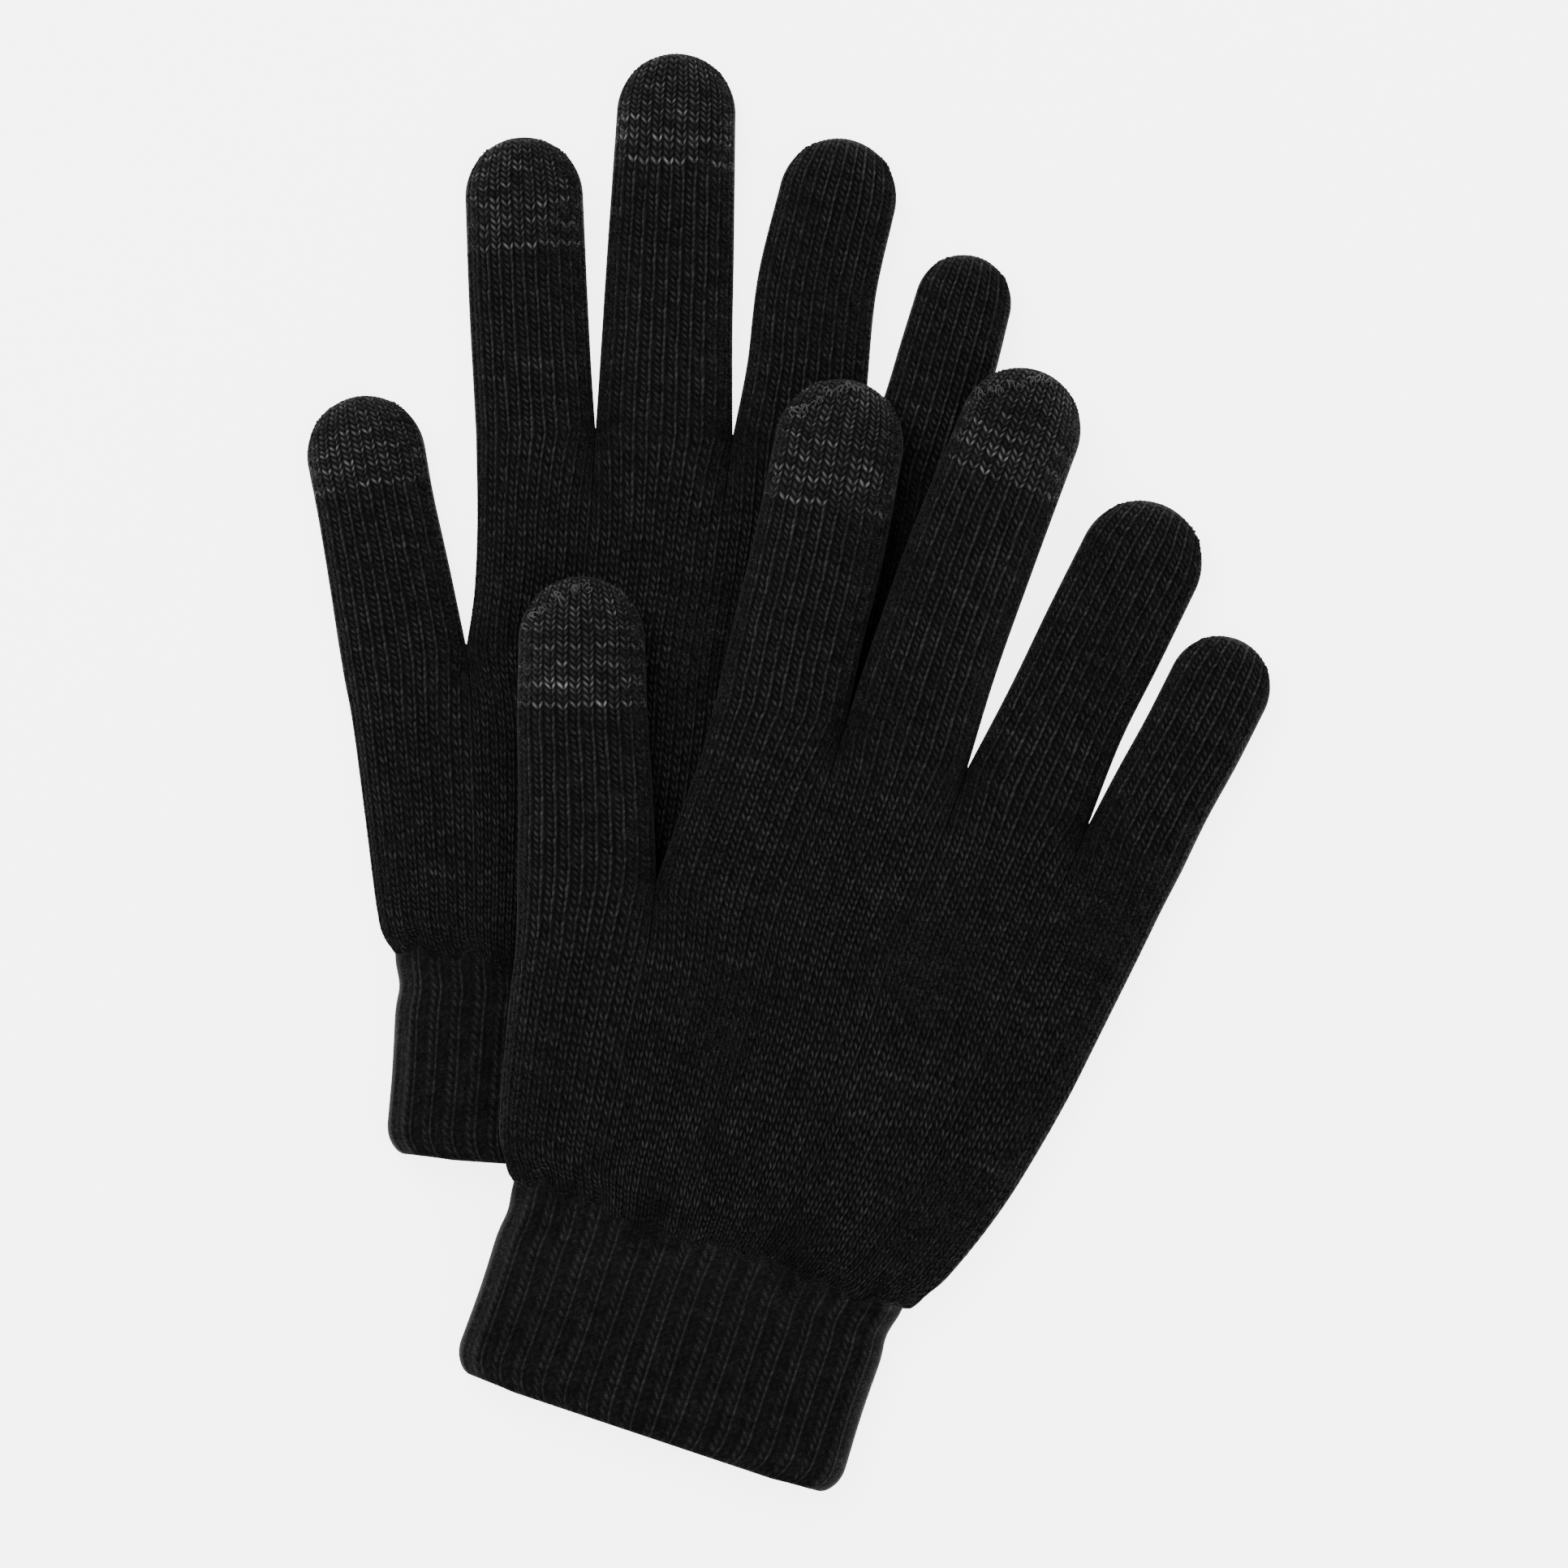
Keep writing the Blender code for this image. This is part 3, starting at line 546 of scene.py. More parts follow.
def stitch_relief(leg, sub, plated, palm):
    """Height of a stitch, 0 to 1, at a place in its wale and its course."""
    slant = ridge(leg, 0.36, 0.27, 0.6) * (1 + 0.08 * palm) * over_course(sub, 0.0, 0.5, 1.0, 0.35)
    line = (over_course(sub, 0.72, 0.9, 1.0, 0.86) * (1 - palm)
            + over_course(sub, 0.68, 0.9, 1.0, 0.84) * palm)
    upright = ridge(leg, 0.79, 0.17, 0.8) * line * (1 - 0.12 * palm)
    plain = np.where(leg < LEG_SPLIT, slant, upright)
    even = np.where(leg < LEG_SPLIT, ridge(leg, 0.32, 0.31, 0.6), ridge(leg, 0.8, 0.2, 0.6))
    even = even * over_course(sub, 0.0, 0.7, 1.0, 0.5)
    return plain * (1 - plated) + even * plated


class Glove:
    """One glove: its strips of knit, its folds and the tubes that are cut from it."""

    def __init__(self, name, seed):
        self.name = name
        self.plan = GLOVES[name]
        self.strips = {d: Strip(self.plan, d, seed + k) for k, d in enumerate(DIGITS)}
        for strip in self.strips.values():
            self.raise_strip(strip)
            self.knit_strip(strip)
        self.join_normals()

    def lift(self, place, height):
        """Plan places at heights above what the glove lies on, in the pair's plan."""
        at = to_pair(self.plan, place)
        floor = drape(at) if self.name == "over" else 0.0
        return np.concatenate([at, (floor + height)[..., None]], axis=-1)

    def course_at(self, digit, length):
        """The whole course that lies a length past a digit's root."""
        return int(round(self.strips[digit].root + length / DIGIT_COURSE))

    def tip_start(self, digit):
        """Course at which the conductive yarn starts, or beyond the strip's end."""
        strip = self.strips[digit]
        if digit not in CONDUCTIVE:
            return strip.courses + 10
        return self.course_at(digit, strip.body + strip.cap - self.plan["tip_length"][digit])

    def knuckle(self, digit):
        strip = self.strips[digit]
        return self.course_at(digit, KNUCKLE_SHARE[digit] * (strip.body + strip.cap))

    def waves(self, place):
        """Slow unevenness of a glove that has been laid down by hand."""
        x, y = place[..., 0], place[..., 1]
        return (0.22 * np.sin(x / 9.0 + y / 17.0 + 1.0) + 0.2 * np.sin(y / 8.0 - x / 21.0 + 2.0)
                + 0.14 * np.sin(x / 4.3 + 0.5) * np.sin(y / 5.1))

    def near_wrist(self, y):
        """1 at the seam between palm and cuff, 0 away from it."""
        return smooth(1 - np.where(y > 0, y / GATHER_REACH, -y / WRIST_BLEND))

    def folds(self, place):
        """Wide, uneven folds where the palm is drawn into the cuff: -1 to 1."""
        x, y = place[..., 0], place[..., 1]
        x = x + 0.35 * y * np.sin(x / 9.0 + 1.0)
        return (np.sin(x / 2.4 + 4.0) + 0.8 * np.sin(x / 4.3 + 1.0)) / 1.8 * self.near_wrist(y)

    def gathers(self, place):
        """Height of the small and wide folds at the wrist."""
        x, y = place[..., 0], place[..., 1]
        half = self.plan["cuff_half"][0]
        rib = (x - self.plan["cuff_centre"] + half) / (2 * half) * RIBS
        crease = np.cos((rib - RIB_CREST + 0.12 * np.sin(y / 4.0)) * math.tau) - 1
        near = self.near_wrist(y)
        return GATHER_DEPTH * crease * near ** 2 + 0.55 * self.folds(place) - 0.45 * near ** 4

    def at_seam(self, place):
        """Places with the seam between palm and cuff drawn into an uneven line."""
        x, y = place[..., 0], place[..., 1]
        shift = 0.7 * np.sin(x / 1.9 + 1.0) + 0.5 * np.sin(x / 0.9 + 2.0) + 0.6 * np.sin(x / 6.5)
        return np.stack([x, y + shift * smooth(1 - np.abs(y) / WRIST_BLEND)], axis=-1)

    def seam_shade(self, place):
        """Painted shade, extra dark, where the palm's stitches run into the ribs."""
        return 1.2 * np.exp(-(place[..., 1] / 3.5) ** 2) * (0.7 + 0.3 * np.sin(place[..., 0] / 3.3))

    def fuzzy(self, place):
        """Patches of worn, fuzzy knit, 0 to 1."""
        x, y = place[..., 0], place[..., 1]
        mixed = (np.sin(x / 7.0 + y / 16.0 + 0.6) + np.sin(y / 11.0 - x / 19.0 + 2.2)
                 + np.sin(x / 13.0 - y / 9.0))
        return smooth((mixed - 0.2) / 2.0)

    def raise_strip(self, strip):
        """Lifts a strip off its plan: two faces with their folds, and the normals for the relief."""
        crown_share = np.clip((strip.high - MIDLINE) / (THICKNESS - MIDLINE), 0, 1)
        extra = (self.waves(strip.place) + self.gathers(strip.place)) * crown_share
        place = self.at_seam(strip.place)
        strip.top = self.lift(place, strip.high + extra)
        strip.bottom = self.lift(place, strip.low)
        strip.top_normal = grid_normal(self.lift(strip.smooth_place, strip.smooth_high))
        strip.bottom_normal = -grid_normal(self.lift(strip.smooth_place, strip.smooth_low))

    def knit_strip(self, strip):
        """Relief, colour, painted shade and clearness of a strip's stitches."""
        above = strip.row_grid - self.tip_start(strip.digit)
        plated = np.where(above >= 0, 1.0, 0.0)
        relief = stitch_relief(strip.leg, strip.row_grid % 1.0, plated, strip.palm)
        band = np.array(TIP_BANDS)[np.clip(np.floor(above + 1e-6).astype(int), 0, len(TIP_BANDS) - 1)]
        strip.plated = plated * np.clip(band * (1 + 0.3 * strip.tone), 0.05, 1.3)
        strip.depth = PLAIN_DEPTH * (1 - strip.plated) + PLATED_DEPTH * strip.plated

        fade, clear = np.ones_like(strip.high), np.ones_like(strip.high)
        right_blur = SIDE_BLUR_RIGHT * (1 + 0.8 * strip.palm * (strip.digit == "little"))
        for weight, distance, blur in ((strip.left, strip.column_grid, SIDE_BLUR_LEFT),
                                       (strip.right, strip.wales - strip.column_grid, right_blur)):
            fade *= 1 - weight * (1 - smooth(distance / EDGE_FADE_WALES))
            ragged = distance * (1 + 0.18 * strip.plump) - 0.5
            clear *= 1 - weight * (1 - smooth(ragged / blur))
        fade *= smooth((strip.courses - strip.row_grid) / 1.5)
        fade *= np.clip(strip.row_grid / 0.5, 0, 1)
        strip.fade = fade
        strip.relief = np.clip(relief * (1 + 0.12 * strip.plump), 0, 1.4) * fade

        # Painted shade round each crotch between digits: darker colour, and stitches lost in fuzz.
        for crotch in [self.plan["upper_left"][0], *self.plan["crotches"]]:
            distance = np.linalg.norm(strip.place - np.array(crotch), axis=-1)
            near = np.exp(-(distance / CROTCH_SHADE) ** 2)
            strip.tone = strip.tone - 2.6 * near
            clear *= 1 - 0.6 * near
        # Painted shade in the hollows of the wrist's folds, a little painted light on their crests, and
        # painted shade along the seam; the stitches also fade to fuzz in the hollows.
        folds = self.folds(strip.place)
        strip.tone = strip.tone + 2.2 * np.clip(folds, -1, 0.2) - self.seam_shade(strip.place)
        clear *= (1 - 0.5 * np.clip(-folds, 0, 1)) * (1 - 0.55 * self.fuzzy(strip.place))
        clear *= 0.45 + 0.55 * smooth(strip.place[..., 1] / 5.0)
        strip.clear = np.clip(clear, 0, 1)

    def join_normals(self):
        """Strips that share a column share its normal; the upper and lower faces share outlines."""
        for strip in self.strips.values():
            faces = (strip.top_normal, strip.bottom_normal)
            for column, weight in ((0, strip.left[:, :1]), (-1, strip.right[:, -1:])):
                both = unit(faces[0][:, column] + faces[1][:, column])
                for face in faces:
                    face[:, column] = unit(face[:, column] * (1 - weight) + both * weight)
            faces[0][-1] = faces[1][-1] = unit(faces[0][-1] + faces[1][-1])
        for a, b in zip(DIGITS, DIGITS[1:]):
            rows = (LOWER_COURSES if a == "thumb" else LOWER_COURSES + UPPER_COURSES) * SUB_ROWS + 1
            for face in ("top_normal", "bottom_normal"):
                left, right = getattr(self.strips[a], face), getattr(self.strips[b], face)
                left[:rows, -1] = right[:rows, 0] = unit(left[:rows, -1] + right[:rows, 0])

    def sheets(self, digits, first, last):
        """The upper and lower grids of neighbouring strips between two grid rows."""
        top, bottom = [], []
        for k, digit in enumerate(digits):
            strip = self.strips[digit]
            columns = np.arange(strip.top.shape[1])
            skip = min(k, 1)           # neighbours share a column
            values = {
                "relief": strip.relief, "tone": strip.tone, "plated": strip.plated, "fade": strip.fade,
                "clear": strip.clear, "wale": strip.column_grid + WALE_STEP * DIGITS.index(digit),
                "course": strip.course_grid,
            }
            upper = {"point": strip.top, "normal": strip.top_normal, "depth": strip.depth}
            lower = {"point": strip.bottom, "normal": strip.bottom_normal,
                     "depth": np.full_like(strip.depth, BOTTOM_DEPTH)}
            for sheet, picked, own in ((top, columns[skip:], upper),
                                       (bottom, columns[::BOTTOM_STEP][skip:], lower)):
                sheet.append({key: grid[first:last + 1, picked]
                              for key, grid in {**values, **own}.items()})
        return [{key: np.concatenate([part[key] for part in sheet], axis=1) for key in sheet[0]}
                for sheet in (top, bottom)]

    def tube(self, digits, first, last, closed=False):
        """The knit of neighbouring strips between two grid rows, all round."""
        top, bottom = self.sheets(digits, first, last)
        ring = {key: around_both(top[key], bottom[key]) for key in top}
        height = ring["relief"] * ring["depth"] - 0.15 * ring["fade"]
        outer = ring["point"] + ring["normal"] * height[..., None]
        picked = sorted(set(range(0, last - first + 1, INNER_ROW_STEP)) | {last - first})
        inner = (ring["point"] - ring["normal"] * KNIT_WALL)[picked]
        return make_shell(outer, inner, ring, top["point"].shape[1], closed)


def around_both(top, bottom):
    """One ring from an upper grid and a lower grid that share their side columns."""
    return np.concatenate([top, bottom[:, -2:0:-1]], axis=1)


def make_shell(outer, inner, ring, top_count, closed):
    """Vertices, faces and attributes of a tube of knit with an inner face."""
    rows, around = outer.shape[:2]
    inner_rows = inner.shape[0]
    index = np.arange(rows * around).reshape(rows, around)
    index_in = rows * around + np.arange(inner_rows * around).reshape(inner_rows, around)
    slivers = []
    if closed:
        for table in (index, index_in):
            for k in range(top_count, around):
                table[-1, k] = table[-1, (around - k) * BOTTOM_STEP]
        for a in range(0, top_count - 1, BOTTOM_STEP):
            slivers.append(index[-1, a:a + BOTTOM_STEP + 1].tolist())
            slivers.append(index_in[-1, a:a + BOTTOM_STEP + 1][::-1].tolist())
    nxt = np.roll(np.arange(around), -1)

    def quads(a, b, c, d):
        return np.stack([a, b, c, d], axis=-1).reshape(-1, 4)

    faces = [
        quads(index[:-1], index[:-1][:, nxt], index[1:][:, nxt], index[1:]),
        quads(index_in[:-1], index_in[1:], index_in[1:][:, nxt], index_in[:-1][:, nxt]),
        quads(index[0][nxt], index[0], index_in[0], index_in[0][nxt]),
    ]
    if not closed:
        faces.append(quads(index[-1], index[-1][nxt], index_in[-1][nxt], index_in[-1]))
    faces = np.concatenate(faces)
    points = np.concatenate([outer.reshape(-1, 3), inner.reshape(-1, 3)])
    values = {
        key: np.concatenate([ring[key].ravel(), np.full(inner_rows * around, rest)])
        for key, rest in INNER_VALUES.items()
    }
    return points, faces, slivers, values


def make_mesh(name, shell, material):
    """A mesh object in metres in the pair's frame."""
    points, faces, slivers, values = shell
    distinct = (faces != np.roll(faces, -1, axis=1)).all(axis=1)
    loops = faces[distinct].tolist()
    for face in faces[~distinct].tolist():
        kept = [v for k, v in enumerate(face) if v != face[k - 1]]
        if len(kept) >= 3:
            loops.append(kept)
    loops += slivers
    used = np.zeros(len(points), bool)
    used[[v for face in loops for v in face]] = True
    number = (np.cumsum(used) - 1).tolist()
    loops = [[number[v] for v in face] for face in loops]
    mesh = bpy.data.meshes.new(name)
    mesh.from_pydata(in_metres(points[used]).tolist(), [], loops)
    for key in ("relief", "tone", "plated", "clear"):
        attribute = mesh.attributes.new(key, "FLOAT", "POINT")
        attribute.data.foreach_set("value", values[key][used].astype(np.float32))
    knit = np.stack([values["wale"][used], values["course"][used], np.zeros(used.sum())], axis=-1)
    attribute = mesh.attributes.new("knit", "FLOAT_VECTOR", "POINT")
    attribute.data.foreach_set("vector", knit.astype(np.float32).ravel())
    mesh.validate()
    mesh.shade_smooth()
    mesh.materials.append(material)
    obj = bpy.data.objects.new(name, mesh)
    bpy.context.scene.collection.objects.link(obj)
    return obj


# ---- cuff ------------------------------------------------------------------------------------------
def cuff_ends(plan, y, near):
    """The cuff's side outlines, drawn in below the wrist and round at the hem's corners."""
    halves, centre = plan["cuff_half"], plan["cuff_centre"]
    half = curve([(halves[0], 0.0), (halves[1], 0.5), (halves[2], 1.0)],
                 np.clip(-y / CUFF_LENGTH, 0, 1))[..., 0]
    down = np.clip((HEM_CORNER + HEM_END - y) / HEM_CORNER, 0, 1)
    half = half - HEM_CORNER * (1 - np.sqrt(1 - down ** 2 * 0.98)) * 0.8
    half = half - 0.7 * np.exp(-((y + 6.0) / 3.5) ** 2)
    left = centre - half + (plan["left"][0][0] - centre + halves[0]) * near
    right = centre + half + (plan["right"][0][0] - centre - halves[0]) * near
    return left, right


def rib_legs(phase, course):
    """Height of the rib's stitches, 0 to 1, at a place in its rib and its course."""
    slope = np.where(phase < RIB_SLANT_END, 0.5 - phase / RIB_SLANT_END, (phase - 0.5) * 2.0) * 1.1
    sub = (course + slope) % 1.0
    slant = ridge(phase, 0.2, 0.18, 0.6) * over_course(sub, 0.0, 0.5, 1.0, 0.3)
    upright = ridge(phase, 0.5, 0.1, 1.0) * over_course(sub, 0.6, 0.9, 1.0, 0.8)
    purl = ridge(phase, 0.8, 0.2, 1.0) * over_course((course + 2.2 * phase) % 1.0, 0.1, 0.6, 1.0, 0.5)
    return np.where(phase < RIB_SLANT_END, slant, np.where(phase < RIB_FACE_END, upright, 0.5 * purl))


def cuff_shell(glove, start, end, hem, seed):
    """A run of the rib cuff between two plan heights, as a ring of ribs above and below."""
    plan = glove.plan
    random = np.random.default_rng(seed)
    rows = np.linspace(start, end, max(int(round((start - end) / CUFF_COURSE * SUB_ROWS)), 3) + 1)
    if hem:
        rows = np.sort(np.append(rows, end + ROLL * np.array(ROLL_STEPS)))[::-1]
    y, column = np.meshgrid(rows, repeated(RIB_COLUMNS, RIBS), indexing="ij")
    free = np.minimum(column, RIBS - column)      # ribs to the nearer side
    phase = (column + RIB_OFFSET) % 1.0
    course = -y / CUFF_COURSE
    rib = np.floor(column).astype(int)

    near = smooth(1 + y / WRIST_BLEND)
    left_end, right_end = cuff_ends(plan, y, near)
    wander = np.zeros_like(y)
    for period in (7.0, 13.0):
        shift = random.uniform(0, math.tau, RIBS + 1)[rib]
        wander += 0.03 * np.sin(y / period + shift)
    share = np.clip((column + wander * np.clip(free / 0.5, 0, 1)) / RIBS, 0, 1)
    place = np.stack([left_end + (right_end - left_end) * even_columns(share, 0.3, 0.3), y], axis=-1)
    to_left, to_right = place[..., 0] - left_end, right_end - place[..., 0]
    edges = [CUFF_EDGE + (root_half(plan, digit) - CUFF_EDGE) * near for digit in ("thumb", "little")]
    swell = crown(to_left, edges[0]) * crown(to_right, edges[1])
    smooth_high = MIDLINE + (THICKNESS - MIDLINE) * swell
    high = smooth_high + (glove.waves(place) * near + glove.gathers(place)) * swell
    low = MIDLINE * (1 - keel(to_left) * keel(to_right))
    folds, seam_shade, fuzzy = glove.folds(place), glove.seam_shade(place), glove.fuzzy(place)
    place = glove.at_seam(place)
    top, bottom = glove.lift(place, high), glove.lift(place, low)
    top_normal = -grid_normal(glove.lift(place, smooth_high))      # rows run towards -Y
    bottom_normal = grid_normal(bottom)
    for k in (0, -1):
        top_normal[:, k] = bottom_normal[:, k] = unit(top_normal[:, k] + bottom_normal[:, k])

    leg = rib_legs(phase, course)
    arch = 0.5 + 0.5 * np.cos(np.clip((phase - RIB_CREST) * 1.25, -0.5, 0.5) * math.tau)
    relief = np.clip(0.45 * arch + 0.55 * leg, 0, 1)
    fade = smooth(free / 0.6) * smooth(-y / 2.0)
    noise = random.normal(0, 1, (int(course.max()) + 3, RIBS + 1))
    tone = noise[np.clip(np.floor(course).astype(int), 0, None), rib]
    clear = smooth((free - 0.25) / 1.0) * (1 - 0.5 * np.clip(-folds, 0, 1))
    clear = clear * (0.6 + 0.4 * smooth(-y / 3.0)) * (1 - 0.15 * fuzzy)
    drop = np.zeros_like(y)
    if hem:
        clear = clear * (0.4 + 0.6 * smooth((y - end) / 1.5))
        fade = fade * smooth((y - end) / 1.6)
        roll = np.clip((ROLL - (y - end)) / ROLL, 0, 1)
        drop = ROLL * (1 - np.sqrt(1 - roll ** 2))
    # Painted shade in the hollows of the folds, with a little painted light on their crests, along the
    # seam, and along the cuff's sides.
    shade = 2.2 * np.clip(folds, -1, 0.2) - seam_shade - 1.2 * (1 - smooth(free / 0.9))
    values = {"relief": leg * 1.1, "tone": tone + shade, "plated": np.zeros_like(y),
              "wale": column * 2, "course": course, "clear": clear}

    above = ((relief - 0.6) * RIB_DEPTH * fade - drop)[..., None]
    below = ((relief - 1) * RIB_DEPTH * fade * 0.6 - drop)[..., None]
    wall = (KNIT_WALL + RIB_DEPTH * 0.3 - drop)[..., None]
    outer = around_both(top + top_normal * above, bottom + bottom_normal * below)
    inner = around_both(top - top_normal * wall, bottom - bottom_normal * wall)
    kept = sorted(set(range(0, len(rows), 4)) | set(range(len(rows) - 4, len(rows))))
    ring = {key: around_both(value, value)[::-1] for key, value in values.items()}
    return make_shell(outer[::-1], inner[kept][::-1], ring, top.shape[1], False)


# ---- materials -------------------------------------------------------------------------------------
FUZZ = 0.0384                # how light the loose fibres are


class Nodes:
    """Short ways to add shader nodes to a material."""

    def __init__(self, name):
        self.material = bpy.data.materials.new(name)
        self.material.use_nodes = True
        self.tree = self.material.node_tree
        self.shader = self.tree.nodes["Principled BSDF"]

    def link(self, source, target):
        self.tree.links.new(source, target)

    def attribute(self, name, output="Fac"):
        node = self.tree.nodes.new("ShaderNodeAttribute")
        node.attribute_name = name
        return node.outputs[output]

    def math(self, operation, a, b, clamp=False):
        node = self.tree.nodes.new("ShaderNodeMath")
        node.operation = operation
        node.use_clamp = clamp
        for socket, value in zip(node.inputs, (a, b)):
            if isinstance(value, (int, float)):
                socket.default_value = value
            else:
                self.link(value, socket)
        return node.outputs[0]

    def noise(self, vector, scale, detail, roughness=0.6, stretch=(1.0, 1.0, 1.0)):
        mapping = self.tree.nodes.new("ShaderNodeMapping")
        mapping.inputs["Scale"].default_value = stretch
        self.link(vector, mapping.inputs["Vector"])
        node = self.tree.nodes.new("ShaderNodeTexNoise")
        node.inputs["Scale"].default_value = scale
        node.inputs["Detail"].default_value = detail
        node.inputs["Roughness"].default_value = roughness
        self.link(mapping.outputs[0], node.inputs["Vector"])
        return node.outputs[0]

    def object_place(self):
        node = self.tree.nodes.new("ShaderNodeTexCoord")
        return node.outputs["Object"]

    def ramp(self, value, stops):
        node = self.tree.nodes.new("ShaderNodeValToRGB")
        ramp = node.color_ramp
        while len(ramp.elements) < len(stops):
            ramp.elements.new(0.5)
        for element, (place, colour) in zip(ramp.elements, stops):
            element.position = place
            element.color = (*colour, 1.0)
        self.link(value, node.inputs[0])
        return node.outputs[0]

    def grey(self, value):
        node = self.tree.nodes.new("ShaderNodeCombineColor")
        for socket in node.inputs[:3]:
            self.link(value, socket)
        return node.outputs[0]

    def line(self, value, gain, base):
        """value * gain + base"""
        return self.math("ADD", self.math("MULTIPLY", value, gain), base)

    def settings(self, values):
        for name, value in values.items():
            self.shader.inputs[name].default_value = value

    def bump(self, height, strength, distance):
        node = self.tree.nodes.new("ShaderNodeBump")
        node.inputs["Strength"].default_value = strength
        node.inputs["Distance"].default_value = distance
        self.link(height, node.inputs["Height"])
        self.link(node.outputs[0], self.shader.inputs["Normal"])

    def mix(self, share, a, b, blend="MIX"):
        node = self.tree.nodes.new("ShaderNodeMix")
        node.data_type = "RGBA"
        node.blend_type = blend
        for socket, value in ((node.inputs[0], share), (node.inputs[6], a), (node.inputs[7], b)):
            if isinstance(value, (int, float)):
                socket.default_value = value
            elif isinstance(value, tuple):
                socket.default_value = (*value, 1.0)
            else:
                self.link(value, socket)
        return node.outputs[2]


def knit_material(name, valley, leg, plated_leg=None):
    """Yarn: legs in the yarn's colour with painted shade in the valleys between them, uneven dye, and
    loose fibres over both.
    """
    n = Nodes(name)
    place, tone = n.object_place(), n.attribute("tone")
    fibre = n.noise(n.attribute("knit", "Vector"), 1.0, 3.0, 0.65, (9.0, 4.5, 1.0))
    speck = n.noise(place, 2300.0, 3.0, 0.7)
    hair = n.noise(place, 900.0, 4.0, 0.75, (1.0, 0.45, 1.0))
    patch = n.noise(place, 90.0, 3.0, 0.5)
    fluff = n.line(n.math("SUBTRACT", speck, 0.5), 2.6, 0.33)
    relief = n.mix(n.attribute("clear"), n.grey(fluff), n.grey(n.attribute("relief")))
    lit = n.math("POWER", n.math("MAXIMUM", relief, 0.0), 2.1)
    # Painted shade: the lower the relief, the darker the colour, down to the valley colour in the
    # hollows between legs; leg tops keep the yarn's own colour. The silvery yarn's ramp below does the
    # same.
    colour = n.ramp(lit, [(0.0, valley), (1.0, leg)])
    if plated_leg is not None:
        dim = tuple(v * 0.3 for v in plated_leg)
        bright = n.ramp(lit, [(0.0, valley), (0.35, dim), (1.0, plated_leg)])
        colour = n.mix(n.attribute("plated"), colour, bright)
    # This attribute carries the yarn's uneven dye together with painted shade at the crotches, fold
    # hollows, the seam and the cuff's sides.
    uneven = n.math("MAXIMUM", n.line(tone, 0.2, 1.0), 0.25)
    for noise, gain, base in ((fibre, 1.8, 0.1), (speck, 1.4, 0.3), (patch, 0.7, 0.65)):
        uneven = n.math("MULTIPLY", uneven, n.line(noise, gain, base))
    colour = n.mix(1.0, colour, n.grey(uneven), "MULTIPLY")
    loose = n.math("MULTIPLY", n.math("ADD", speck, hair), 0.5)
    loose = n.math("POWER", n.math("MAXIMUM", n.math("SUBTRACT", loose, 0.42), 0.0), 1.3)
    shade = n.math("MAXIMUM", n.line(tone, 0.12, 1.0), 0.3)
    loose = n.math("MULTIPLY", n.math("MULTIPLY", loose, FUZZ), shade)
    n.link(n.mix(1.0, colour, n.grey(loose), "ADD"), n.shader.inputs["Base Color"])
    n.settings({"Roughness": 0.85, "Specular IOR Level": 0.05, "Sheen Weight": 0.07,
                "Sheen Roughness": 0.5, "Sheen Tint": (0.35, 0.35, 0.37, 1.0)})
    n.bump(n.math("ADD", n.math("MULTIPLY", fibre, 0.6), n.math("MULTIPLY", speck, 0.7)), 0.6, 0.00025)
    return n.material


def elastic_material():
    n = Nodes("elastic_thread")
    wrap = n.noise(n.object_place(), 2500.0, 2.0)
    n.link(n.ramp(wrap, [(0.3, (0.008, 0.008, 0.008)), (0.7, (0.03, 0.03, 0.03))]),
           n.shader.inputs["Base Color"])
    n.settings({"Roughness": 0.6})
    n.bump(wrap, 0.4, 0.0002)
    return n.material


def yarn_for(slot, *colours):
    return knit_material(f"{slot}_yarn", *colours), slot


# Each yarn: the valleys' painted shade, the legs' own colour, and for the conductive yarn its silvery
# legs' own colour.
BLACK = yarn_for("black_knit", (0.0004, 0.0004, 0.00042), (0.0205, 0.0205, 0.0208))
RIB = yarn_for("rib_knit", (0.0006, 0.0006, 0.00063), (0.0205, 0.0205, 0.0208))
PLATED = yarn_for("conductive_knit", (0.0008, 0.0008, 0.00084), (0.016, 0.016, 0.0163),
                  (0.115, 0.111, 0.112))
ELASTIC = elastic_material()


def yarn_tube(line):
    """Rings of points round a short length of yarn."""
    along = unit(np.gradient(line, axis=0))
    side = unit(np.cross(along, (0.3, 0.2, 1.0)))
    up = np.cross(side, along)
    angles = np.arange(LOOP_SIDES) / LOOP_SIDES * math.tau
    ring = np.cos(angles)[None, :, None] * side[:, None] + np.sin(angles)[None, :, None] * up[:, None]
    thick = LOOP_RADIUS * np.sqrt(np.clip(1 - np.abs(np.linspace(-1, 1, len(line))) ** 6, 0.05, 1))
    return line[:, None] + ring * thick[:, None, None]


